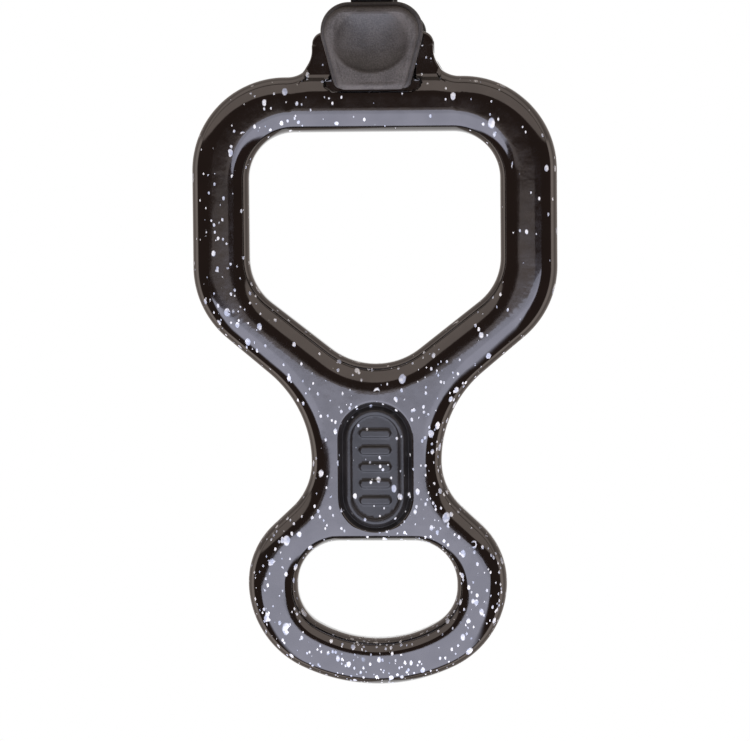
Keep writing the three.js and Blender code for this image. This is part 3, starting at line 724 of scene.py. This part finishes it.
def thumb_pad():
    features = [(grid(*PAD_GRID, PAD_SPACING), None)]
    piece = rounded_slab(
        "thumb_pad_moulding", mirrored(PAD_CORNERS), -PAD_BACK, -PAD_FRONT, 0.5, 1.1, front_plane,
        0.6, lambda at: -PAD_FRONT - dish_drop(at), features, BODY_SHARP,
    )
    return combined(piece, cutters(), "DIFFERENCE", BODY_SHARP)


def pad_frame():
    piece = rounded_slab(
        "pad_frame_moulding", mirrored(FRAME_CORNERS), -FRAME_BACK, -FRAME_FRONT, 0.45, 0.5,
        front_plane, 0.8,
    )
    return combined(piece, cutters(), "DIFFERENCE")


# ---------------- gate arm and keeper hook

MOULDING_HALF = 4.55  # half width of arm and hook
PLUNGER_Y = 3.4  # follower and spring


def gate_arm():
    arm = rounded_slab("gate_arm_moulding", [
        [-1.6, 32.2, 0.8], [-1.6, 38.6, 0], [-0.6, 38.6, 0], [-0.6, 39.6, 0],
        [5.0, 39.6, 0.8], [5.0, 41.6, 0.8], [-0.5, 41.6, 0.8], [-0.5, 48.0, 4],
        [-2.9, 57.6, 4], [-2.9, 63.2, 0.8], [-6.1, 63.2, 0.8], [-6.1, 57.6, 4], [-3.3, 48.0, 4],
        [-3.3, 32.2, 0.8],
    ], -MOULDING_HALF, MOULDING_HALF, 0.5, 0.5)
    knuckle = bar("knuckle", 2.4, MOULDING_HALF, *PIVOT, 64, 0.25)
    arm = combined(arm, [knuckle], "UNION")
    bore = bar("bore", GATE_BORE, ARM_BORE_HALF, *PIVOT, 64)
    return combined(arm, [bore] + cutters(), "DIFFERENCE")


def sweep_z(y):
    """Height of the hook's floor under the gate's heel at full opening."""
    along = (y - PIVOT[0] - math.sin(OPENING)) / math.cos(OPENING)
    return PIVOT[1] + math.cos(OPENING) - along * math.sin(OPENING) - 0.4


def keeper_hook():
    hook = rounded_slab("keeper_hook_moulding", [
        [3.6, 30.2, 1.4], [8.6, 30.2, 1.4], [8.6, 41.0, 7], [13.5, 51.3, 7], [13.5, 70, 9.5],
        [-10.1, 70, 8], [-10.1, 60.5, 1.4], [-6.4, 60.5, 1.4], [-6.4, 66, 4.2], [9.5, 66, 5.5],
        [9.5, 51.3, 7], [3.6, 43, 1.4],
    ], -MOULDING_HALF, MOULDING_HALF, 1.1, 1.1, spacing=0.9)
    root_corners = mirrored([[7.9, 30.2, 1.7], [10.95, 41.3, 6], [10.6, 46, 6]])
    root = rounded_slab("root", root_corners, -8.6, -3.6, 0.9, 0.9, front_plane, 0.9)
    foot = rounded_slab("foot", [
        [-1.2, 31.3, 0], [4.5, 31.3, 0], [4.5, sweep_z(2.15), 0], [2.15, sweep_z(2.15), 0],
        [2.15, 35.9, 0], [-1.2, 35.9, 0],
    ], -7.6, 7.6, 0, 0)
    cheek_side = [
        [-1.2, 31.3, 0], [4.5, 31.3, 0], [4.5, 41.1, 0], [-3.1, 41.1, 2.5], [-3.1, 36.1, 2.5],
        [-1.2, 36.1, 0],
    ]
    cheeks = [rounded_slab("cheek", cheek_side, low, high, 0, 0)
              for low, high in ((4.9, 7.6), (-7.6, -4.9))]
    hook = combined(hook, [root, foot] + cheeks, "UNION")
    recess = rounded_slab("recess", [
        [1.85, sweep_z(2.15), 0], [6.3, sweep_z(6.3), 0], [6.3, 43, 0], [1.85, 43, 0],
    ], -4.95, 4.95, 0, 0)
    well = [(0, 31.9), (1.42, 31.9), (1.42, 42.7), (0, 42.7)]
    bores = pin_bores(HOOK_BORE_HALF) + [turned("bore", well, 48, (0, PLUNGER_Y, 0))]
    return combined(hook, [recess] + bores, "DIFFERENCE")


# ---------------- small steel parts

def screw(which, z, head_y):
    length = head_y - PAD_BACK + SCREW_BITE
    profile = [(0, -length), (0.62, -length), (THREAD_RADIUS, -length + THREAD_PITCH)]
    for turn in range(int((length - HEAD_DEPTH - 0.5) / THREAD_PITCH)):
        low = -length + THREAD_PITCH + THREAD_PITCH * turn
        profile += [(THREAD_RADIUS, low + 0.06), (0.74, low + 0.19), (THREAD_RADIUS, low + 0.33)]
    profile += [(THREAD_RADIUS, -HEAD_DEPTH), (1.55, -0.13), (1.7, -0.06), (1.62, 0), (0.95, 0),
                (0.95, -0.5), (0, -0.5)]
    return turned(f"pad_screw_{which}_turned", profile, 36, (0, head_y, z), "Y", 30)


def pin(name, radius, y, z):
    end = [(0, PIN_HALF - 0.12), (radius * 0.55, PIN_HALF - 0.1), (radius * 0.72, PIN_HALF),
           (radius - 0.12, PIN_HALF), (radius, PIN_HALF - 0.14)]
    profile = [(out, -level) for out, level in end] + end[::-1]
    return turned(name, profile, 56, (0, y, z), "X", 40)


def follower():
    top, outer, steps = 39.4, 1.3, 12
    profile = [(0, top - 0.6), (0.55, top - 0.7), (0.85, top - 1.05), (1.0, top - 1.6),
               (1.0, top - 4.85), (1.08, top - 5), (1.22, top - 5), (outer, top - 4.9)]
    for step in range(steps + 1):
        angle = math.pi / 2 * step / steps
        radius = 0 if step == steps else outer * math.cos(angle)
        profile.append((radius, top - outer + outer * math.sin(angle)))
    return turned("follower_thimble", profile, 48, (0, PLUNGER_Y, 0), "Z", 35)


def spring():
    radius, wire, turns, low, high = 0.71, 0.14, 8, 32.14, 37.86
    closed = 0.9  # turns of each end coil, which lie close
    steps, sides = turns * 28, 10
    share = np.linspace(0, 1, steps + 1)
    done = share * turns
    angle = done * 2 * math.pi
    ease = np.clip((done - closed) / (turns - 2 * closed), 0, 1)
    flat = 0.30 / (high - low)
    climb = np.clip(done / closed, 0, 1) * flat
    drop = np.clip((turns - done) / closed, 0, 1) * flat
    level = np.where(done > turns - closed, 1 - drop, flat + ease * (1 - 2 * flat))
    level = np.where(done < closed, climb, level)
    middle = np.column_stack([radius * np.cos(angle), radius * np.sin(angle),
                              low + level * (high - low)])
    ahead = np.gradient(middle, axis=0)
    ahead /= np.linalg.norm(ahead, axis=1)[:, None]
    out = np.column_stack([np.cos(angle), np.sin(angle), np.zeros(steps + 1)])
    up = np.cross(ahead, out)
    verts = []
    for side in range(sides):
        turn = 2 * math.pi * side / sides
        verts.append(middle + wire * (math.cos(turn) * out + math.sin(turn) * up))
    places = np.stack(verts, axis=1).reshape(-1, 3) + np.array([0, PLUNGER_Y, 0])
    faces = []
    for step in range(steps):
        for side in range(sides):
            a = step * sides + side
            b = step * sides + (side + 1) % sides
            faces.append((a, b, b + sides, a + sides))
    faces.append(tuple(range(sides)))
    faces.append(tuple(range(steps * sides, (steps + 1) * sides)))
    data = bpy.data.meshes.new("spring")
    data.from_pydata(to_row(places).tolist(), [], faces)
    return make_object("gate_spring_coil", data, 60)


# ---------------- materials

class Nodes:
    """Builds the node tree of a material or world, from sockets to sockets."""

    def __init__(self, owner):
        owner.use_nodes = True
        self.owner = owner
        self.tree = owner.node_tree
        self.coordinates = self.add("ShaderNodeTexCoord", {})
        self.place = self.coordinates["Object"]

    def fill(self, name, inputs):
        return self.feed(self.tree.nodes[name], inputs)

    def feed(self, node, inputs):
        """Sets or links a node's inputs, given by name or number."""
        for key, value in inputs.items():
            if isinstance(value, bpy.types.NodeSocket):
                self.tree.links.new(value, node.inputs[key])
            else:
                node.inputs[key].default_value = value
        return node.outputs

    def add(self, kind, inputs, **settings):
        node = self.tree.nodes.new(kind)
        for key, value in settings.items():
            setattr(node, key, value)
        return self.feed(node, inputs)

    def math(self, operation, *values):
        return self.add("ShaderNodeMath", dict(enumerate(values)), operation=operation)[0]

    def times(self, one, two):
        return self.math("MULTIPLY", one, two)

    def minus(self, one, two):
        return self.math("SUBTRACT", one, two)

    def larger(self, one, two):
        return self.math("MAXIMUM", one, two)

    def line(self, value, slope, offset):
        return self.math("MULTIPLY_ADD", value, slope, offset)

    def ramp(self, value, low, high, to_low=0.0, to_high=1.0):
        return self.add("ShaderNodeMapRange", {
            "Value": value, "From Min": low, "From Max": high, "To Min": to_low, "To Max": to_high,
        }, interpolation_type="SMOOTHSTEP")["Result"]

    def mix(self, share, one, two):
        return self.add("ShaderNodeMix", {0: share, 6: one, 7: two}, data_type="RGBA")[2]

    def bands(self, angle, colour, steps):
        """A colour that turns into others while an angle grows: (from, to, colour), in degrees."""
        for low, high, following in steps:
            share = self.ramp(angle, math.radians(low), math.radians(high))
            colour = self.mix(share, colour, following)
        return colour

    def axes(self, vector):
        return self.add("ShaderNodeSeparateXYZ", {0: vector})

    def stretched(self, vector, scale, turn=(0, 0, 0), shift=(0, 0, 0)):
        return self.add("ShaderNodeMapping", {
            "Vector": vector, "Scale": scale, "Rotation": turn, "Location": shift,
        })["Vector"]

    def noise(self, scale, detail=2.0, rough=0.5, vector=None):
        return self.add("ShaderNodeTexNoise", {
            "Vector": vector or self.place, "Scale": scale, "Detail": detail, "Roughness": rough,
        })

    def bump(self, height, strength, distance):
        return self.add("ShaderNodeBump", {
            "Height": height, "Strength": strength, "Distance": distance,
        })["Normal"]

    def warp(self, scale, amount):
        """Object coordinates moved about by a noise, in metres."""
        return self.add("ShaderNodeVectorMath", {
            0: self.noise(scale)["Color"], 1: (amount,) * 3, 2: self.place,
        }, operation="MULTIPLY_ADD")[0]


# cells per metre, share of them with a fleck, and a fleck's range and least radius in cells
FLECKS = ((330, 0.55, 0.20, 0.13), (520, 0.85, 0.22, 0.14), (1100, 0.75, 0.24, 0.15))
FLECK_STRETCH = (1, 1, 0.66)


def fleck_density(nodes, x, z):
    """Dense on the eye and on the waist's right, sparse on the upper ring."""
    low = nodes.ramp(z, -0.148, -0.075, 1.0, 0.22)
    right = nodes.ramp(x, -0.022, 0.014, -0.25, 0.45)
    waist = nodes.ramp(z, -0.080, -0.105)
    left_bar = nodes.times(nodes.ramp(x, -0.022, -0.032), nodes.ramp(z, -0.045, -0.08, 0.0, 0.35))
    dense = nodes.math("ADD", low, nodes.times(right, waist))
    dense = nodes.math("ADD", dense, left_bar)
    return nodes.times(dense, nodes.ramp(nodes.noise(90, 3)["Fac"], 0.32, 0.66, 0.35, 1.25))


def flecks(nodes, dense):
    """1 on a fleck, with a soft edge, in three sizes."""
    total = None
    for number, (scale, share, size, least) in enumerate(FLECKS):
        warped = nodes.warp(500 + 300 * number, 0.0006 / (1 + number))
        turn = (0.1, 0.25 - 0.5 * number, 0.1)
        shift = (0.013 * number, 0.007, 0.011)
        cells = nodes.add("ShaderNodeTexVoronoi", {
            "Vector": nodes.stretched(warped, FLECK_STRETCH, turn, shift), "Scale": scale,
        })
        pick, spread, _ = nodes.add("ShaderNodeSeparateColor", {0: cells["Color"]})
        chosen = nodes.math("GREATER_THAN", pick, nodes.minus(1.0, nodes.times(dense, share)))
        radius = nodes.line(spread, size, least)
        spot = nodes.ramp(nodes.math("DIVIDE", cells["Distance"], radius), 1.0, 0.72)
        fleck = nodes.times(chosen, spot)
        total = fleck if total is None else nodes.larger(total, fleck)
    return total


def lacquered_alloy():
    """Glossy dark lacquer with pale flecks, dull and black in the oval."""
    nodes = Nodes(bpy.data.materials.new("lacquered_alloy"))
    x, y, z = nodes.axes(nodes.place)
    upright = nodes.math("ABSOLUTE", nodes.minus(z, (OVAL_Z + ROW_SHIFT[2]) * MM))
    upright = nodes.larger(nodes.minus(upright, OVAL_STRAIGHT * MM), 0.0)
    reach = nodes.math("SQRT", nodes.math("ADD", nodes.times(upright, upright), nodes.times(x, x)))
    edge = (GROOVE_MIDDLE + GROOVE_HALF) * MM
    front = nodes.ramp(y, -0.003, -0.002, 1.0, 0.0)
    oval = nodes.times(nodes.ramp(reach, edge - 0.00018, edge + 0.00002, 1.0, 0.0), front)
    off_middle = nodes.math("ABSOLUTE", nodes.minus(reach, GROOVE_MIDDLE * MM))
    groove = nodes.times(nodes.ramp(off_middle, 0.0007, 0.00095, 1.0, 0.0), front)
    total = flecks(nodes, nodes.times(fleck_density(nodes, x, z), nodes.line(oval, -0.6, 1.0)))

    tone = nodes.ramp(nodes.noise(700)["Fac"], 0.35, 0.65)
    pale = nodes.mix(tone, (0.46, 0.50, 0.60, 1), (0.95, 0.95, 0.92, 1))
    cloud = nodes.ramp(nodes.noise(160, 4)["Fac"], 0.3, 0.7)
    dark = nodes.mix(cloud, (0.092, 0.084, 0.082, 1), (0.108, 0.098, 0.095, 1))
    soot = nodes.mix(cloud, (0.010, 0.009, 0.009, 1), (0.020, 0.018, 0.018, 1))
    plain = nodes.minus(1.0, nodes.larger(total, oval))
    haze = nodes.ramp(nodes.noise(420, 4)["Fac"], 0.3, 0.7, 0.07, 0.12)
    # painted shade: the coat is mostly taken off in the oval's groove so that the groove reads
    # dark; in the oval's field it is thinned for the field's dull finish
    painted_shade_and_finish = nodes.larger(nodes.times(groove, 0.9), nodes.times(oval, 0.35))
    peel = nodes.noise(330, 3)["Fac"]
    relief = nodes.line(total, 0.35, nodes.line(nodes.noise(1500)["Fac"], 0.12, peel))
    skin = nodes.line(nodes.times(nodes.noise(1900, 3)["Fac"], oval), 3.0, peel)
    nodes.fill("Principled BSDF", {
        "Base Color": nodes.mix(total, nodes.mix(oval, dark, soot), pale),
        "Metallic": nodes.ramp(plain, 0.0, 1.0, 0.1, 1.0),
        "Roughness": nodes.line(oval, 0.35, nodes.line(total, 0.4, haze)),
        "Coat Weight": nodes.minus(1.0, painted_shade_and_finish),
        "Coat Roughness": 0.03,
        "Normal": nodes.bump(relief, 0.14, 0.0001),
        "Coat Normal": nodes.bump(skin, 0.08, 0.00006),
    })
    return nodes.owner


def in_dish(nodes):
    """1 in the pad's dish, 0 round it."""
    across, _, up = nodes.axes(nodes.place)
    x = nodes.math("DIVIDE", across, DISH_HALF[0] * MM)
    above = nodes.minus(up, (DISH_Z + ROW_SHIFT[2]) * MM)
    z = nodes.larger(nodes.math("DIVIDE", above, DISH_HALF[1] * MM),
                     nodes.math("DIVIDE", above, -DISH_LOW_HALF * MM))
    size = nodes.math("SQRT", nodes.line(x, x, nodes.times(z, z)))
    return nodes.ramp(size, 1.02, 0.92)


def moulded(name, dark, light, rough, grain_scale, grain_depth, strength, dished=False):
    """A moulded plastic: fine grain and faint mottling; in the dish it is worn smooth, and its
    colour is darkened there as painted shade.
    """
    nodes = Nodes(bpy.data.materials.new(name))
    cloud = nodes.noise(240, 4)["Fac"]
    speck = nodes.noise(grain_scale * 1.3)["Fac"]
    tone = nodes.line(speck, 0.55, nodes.times(cloud, 0.45))
    colour = nodes.mix(nodes.ramp(tone, 0.36, 0.64), (*dark, 1), (*light, 1))
    dull = nodes.ramp(cloud, 0.3, 0.7, rough - 0.06, rough + 0.06)
    if dished:
        # the dish mask: painted shade darkens the dish's colour by up to 30%; the lower roughness
        # is wear
        painted_shade_and_finish = in_dish(nodes)
        colour = nodes.mix(nodes.times(painted_shade_and_finish, 0.30), colour, (0, 0, 0, 1))
        dull = nodes.line(painted_shade_and_finish, -0.29, dull)
    grain = nodes.noise(grain_scale, 3, 0.6)["Fac"]
    normal = nodes.bump(grain, strength, grain_depth)
    nodes.fill("Principled BSDF", {"Base Color": colour, "Roughness": dull, "Normal": normal})
    return nodes.owner


def turned_steel():
    nodes = Nodes(bpy.data.materials.new("turned_steel"))
    lines = nodes.noise(1.0, 3, vector=nodes.stretched(nodes.place, (9000, 1200, 1200)))["Fac"]
    tone = nodes.ramp(lines, 0.3, 0.7)
    nodes.fill("Principled BSDF", {
        "Base Color": nodes.mix(tone, (0.42, 0.42, 0.43, 1), (0.66, 0.66, 0.67, 1)),
        "Metallic": 1.0,
        "Roughness": nodes.ramp(nodes.noise(500, 3)["Fac"], 0.3, 0.7, 0.22, 0.38),
        "Normal": nodes.bump(lines, 0.3, 0.00001),
    })
    return nodes.owner


# ---------------- assembly

lacquer = lacquered_alloy()
nylon = moulded("black_nylon", (0.009, 0.009, 0.0095), (0.018, 0.0175, 0.018), 0.46,
                2600, 0.00002, 0.4)
grey = moulded("grey_plastic", (0.072, 0.065, 0.060), (0.130, 0.118, 0.109), 0.66,
               2500, 0.00010, 0.9, True)
rim_grey = moulded("grey_plastic_frame", (0.060, 0.053, 0.049), (0.095, 0.086, 0.080), 0.40,
                   2500, 0.00006, 0.7)
steel = turned_steel()

PIECES = [
    (forged_body(), "frame", "descender_body", "lacquered_alloy", lacquer),
    (keeper_hook(), "frame", "keeper_hook", "black_nylon", nylon),
    (gate_arm(), "gate", "gate_arm", "black_nylon", nylon),
    (pad_frame(), "gate", "pad_frame", "grey_plastic", rim_grey),
    (thumb_pad(), "gate", "thumb_pad", "grey_plastic", grey),
    (screw("upper", *SCREWS[0]), "gate", "pad_screw_upper", "steel", steel),
    (screw("lower", *SCREWS[1]), "gate", "pad_screw_lower", "steel", steel),
    (pin("gate_pin_ground", 1.25, *PIVOT), "frame", "gate_pin", "steel", steel),
    (pin("hook_pin_ground", 0.9, *HOOK_PIN), "frame", "hook_pin", "steel", steel),
    (follower(), "follower", "spring_follower", "steel", steel),
    (spring(), "frame", "gate_spring", "steel", steel),
]
for piece, body, replaced, slot, look in PIECES:
    even = piece.modifiers.new("even_normals", "WEIGHTED_NORMAL")
    even.keep_sharp = True
    piece.data.materials.clear()
    piece.data.materials.append(look)
    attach(piece, body)
    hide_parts(replaced)
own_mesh(PIECES[-1][0])


# ---------------- stage, light and camera

FLOOR_Z = -0.246
FLOOR_REACH = 9.0
LAMP_LIFT = 0.004  # lamps that shine up from the floor lie this far over it
OVERHEAD = (0.68, 0.60, 0.55, 1)
STRIP = (0.2, 0.17, 0.15, 1)
SOFT = (0.17, 0.14, 0.12, 1)
DARK = (0.10, 0.07, 0.06, 1)
BACK = (0.32, 0.275, 0.25, 1)
SIDE = (0.90, 0.80, 0.74, 1)
WHITE = (1, 1, 1, 1)
# what a gloss sees: round the object from the front, and over it from the front horizon
ROOM = ((84, 90, SIDE), (100, 125, BACK), (162, 170, WHITE))
ARC = ((16, 19, OVERHEAD), (75, 77, STRIP), (83, 85, OVERHEAD), (105, 125, BACK),
       (162, 170, WHITE))
# colour, strength and edge of the table that the floor paints for glossy rays: a painted
# reflection, no lamp
TABLE = (0.74, 0.79, 0.98, 1)
TABLE_STRENGTH = 2.4
TABLE_SHADED = 0.42  # how much less its far part gives
TABLE_SOFT = (-0.02, 0.03)


def floor_material():
    """Pale floor, white far off; for glossy rays it glows, with a painted bright table on it and
    the painted room beyond.
    """
    nodes = Nodes(bpy.data.materials.new("floor"))
    dull = nodes.fill("Principled BSDF", {
        "Base Color": (0.86, 0.86, 0.86, 1), "Roughness": 0.9, "Specular IOR Level": 0.1,
    })[0]
    path = nodes.add("ShaderNodeLightPath", {})
    x, y, _ = nodes.axes(nodes.place)
    ahead = nodes.times(y, -1.0)
    room = nodes.bands(nodes.math("ARCTAN2", nodes.math("ABSOLUTE", x), ahead), DARK, ROOM)

    # the painted table's right and left borders, as lengths from the object's middle line
    right = nodes.larger(nodes.line(ahead, 0.17, 0.10), nodes.line(ahead, 0.40, -0.04))
    left = nodes.larger(nodes.line(ahead, -0.25, 0.60), 0.30)
    left = nodes.math("MINIMUM", left, nodes.line(ahead, 0.56, 0.07))
    table = nodes.times(nodes.ramp(nodes.minus(right, x), *TABLE_SOFT),
                        nodes.ramp(nodes.math("ADD", left, x), *TABLE_SOFT))
    table = nodes.times(table, nodes.ramp(ahead, 0.01, 0.03))
    table = nodes.times(table, nodes.ramp(ahead, 2.55, 2.70, 1.0, 0.0))
    shaded = nodes.times(nodes.ramp(ahead, 1.05, 1.4), nodes.ramp(ahead, 2.2, 2.5, 1.0, 0.0))
    painted_table_glow = nodes.times(table, nodes.line(shaded, -TABLE_SHADED, TABLE_STRENGTH - 1))

    # painted reflection: for glossy rays the floor glows with the painted room and, brighter than
    # white, the painted table
    glossy = path["Is Glossy Ray"]
    glow = nodes.add("ShaderNodeEmission", {
        "Color": nodes.mix(glossy, WHITE, nodes.mix(table, room, TABLE)),
        "Strength": nodes.line(painted_table_glow, glossy, 1.0),
    })[0]
    length = nodes.add("ShaderNodeVectorMath", {0: nodes.place}, operation="LENGTH")["Value"]
    seen = nodes.larger(path["Is Camera Ray"], path["Is Transmission Ray"])
    far = nodes.times(seen, nodes.ramp(length, 0.12, 0.34, 0.62, 1.0))
    both = nodes.add("ShaderNodeMixShader", {0: nodes.larger(far, glossy), 1: dull, 2: glow})[0]
    nodes.fill("Material Output", {"Surface": both})
    return nodes.owner


def floor():
    low, high = -FLOOR_REACH, FLOOR_REACH
    data = bpy.data.meshes.new("floor")
    data.from_pydata([(low, low, 0), (high, low, 0), (high, high, 0), (low, high, 0)],
                     [], [(0, 1, 2, 3)])
    data.materials.append(floor_material())
    piece = bpy.data.objects.new("floor", data)
    bpy.context.scene.collection.objects.link(piece)
    piece.location = (0, 0, FLOOR_Z)


def area_light(name, radiance, colour, size, place, turn, glossy):
    data = bpy.data.lights.new(name, "AREA")
    data.shape = "RECTANGLE"
    data.size, data.size_y = size
    data.color = colour
    data.energy = radiance * math.pi * size[0] * size[1]
    lamp = bpy.data.objects.new(name, data)
    bpy.context.scene.collection.objects.link(lamp)
    lamp.location = place
    lamp.rotation_euler = turn
    lamp.visible_camera = False
    lamp.visible_glossy = glossy


def world():
    """White for the camera and soft light; a gloss sees the arc overhead and the room around."""
    made = bpy.data.worlds.new("studio")
    bpy.context.scene.world = made
    nodes = Nodes(made)
    path = nodes.add("ShaderNodeLightPath", {})
    x, y, z = nodes.axes(nodes.coordinates["Generated"])
    ahead = nodes.times(y, -1.0)
    arc = nodes.bands(nodes.math("ARCTAN2", z, ahead), DARK, ARC)
    room = nodes.bands(nodes.math("ARCTAN2", nodes.math("ABSOLUTE", x), ahead), DARK, ROOM)
    colour = nodes.mix(nodes.ramp(z, 0.28, 0.34, 1.0, 0.0), arc, room)
    colour = nodes.mix(path["Is Diffuse Ray"], colour, SOFT)
    colour = nodes.mix(path["Is Camera Ray"], colour, WHITE)
    nodes.fill("Background", {"Color": colour, "Strength": 1.0})


floor()
world()
UP = (math.pi, 0, 0)
area_light("table", 2.45, (1.0, 1.0, 1.15), (0.7, 2.2), (0.0, -1.12, FLOOR_Z + LAMP_LIFT), UP,
           False)
area_light("far_table", 0.36, (1.0, 0.93, 0.9), (0.9, 5.0), (-0.35, -5.0, FLOOR_Z + LAMP_LIFT), UP,
           True)
area_light("overhead", 0.3, (1.0, 0.95, 0.9), (1.2, 1.2), (0.1, 0.1, 1.1), (0, 0, 0), False)

AZIMUTH = math.radians(4)
ELEVATION = math.radians(4)
ROLL = math.radians(0.49)
DISTANCE = 0.9
SENSOR = 36
PICTURE_WIDTH = 0.1608  # in metres at the target
TARGET = Vector((-0.00024, -0.00155, -0.09644))
camera_data = bpy.data.cameras.new("camera")
camera = bpy.data.objects.new("camera", camera_data)
bpy.context.scene.collection.objects.link(camera)
away = Vector((math.cos(ELEVATION) * math.sin(AZIMUTH), -math.cos(ELEVATION) * math.cos(AZIMUTH),
               math.sin(ELEVATION)))
camera.location = TARGET + away * DISTANCE
look = (-away).to_track_quat("-Z", "Y").to_matrix().to_4x4()
camera.matrix_world = Matrix.Translation(camera.location) @ look @ Matrix.Rotation(-ROLL, 4, "Z")
camera_data.sensor_width = SENSOR
camera_data.lens = SENSOR * DISTANCE / PICTURE_WIDTH
bpy.context.scene.camera = camera
bpy.context.scene.view_settings.view_transform = "Standard"
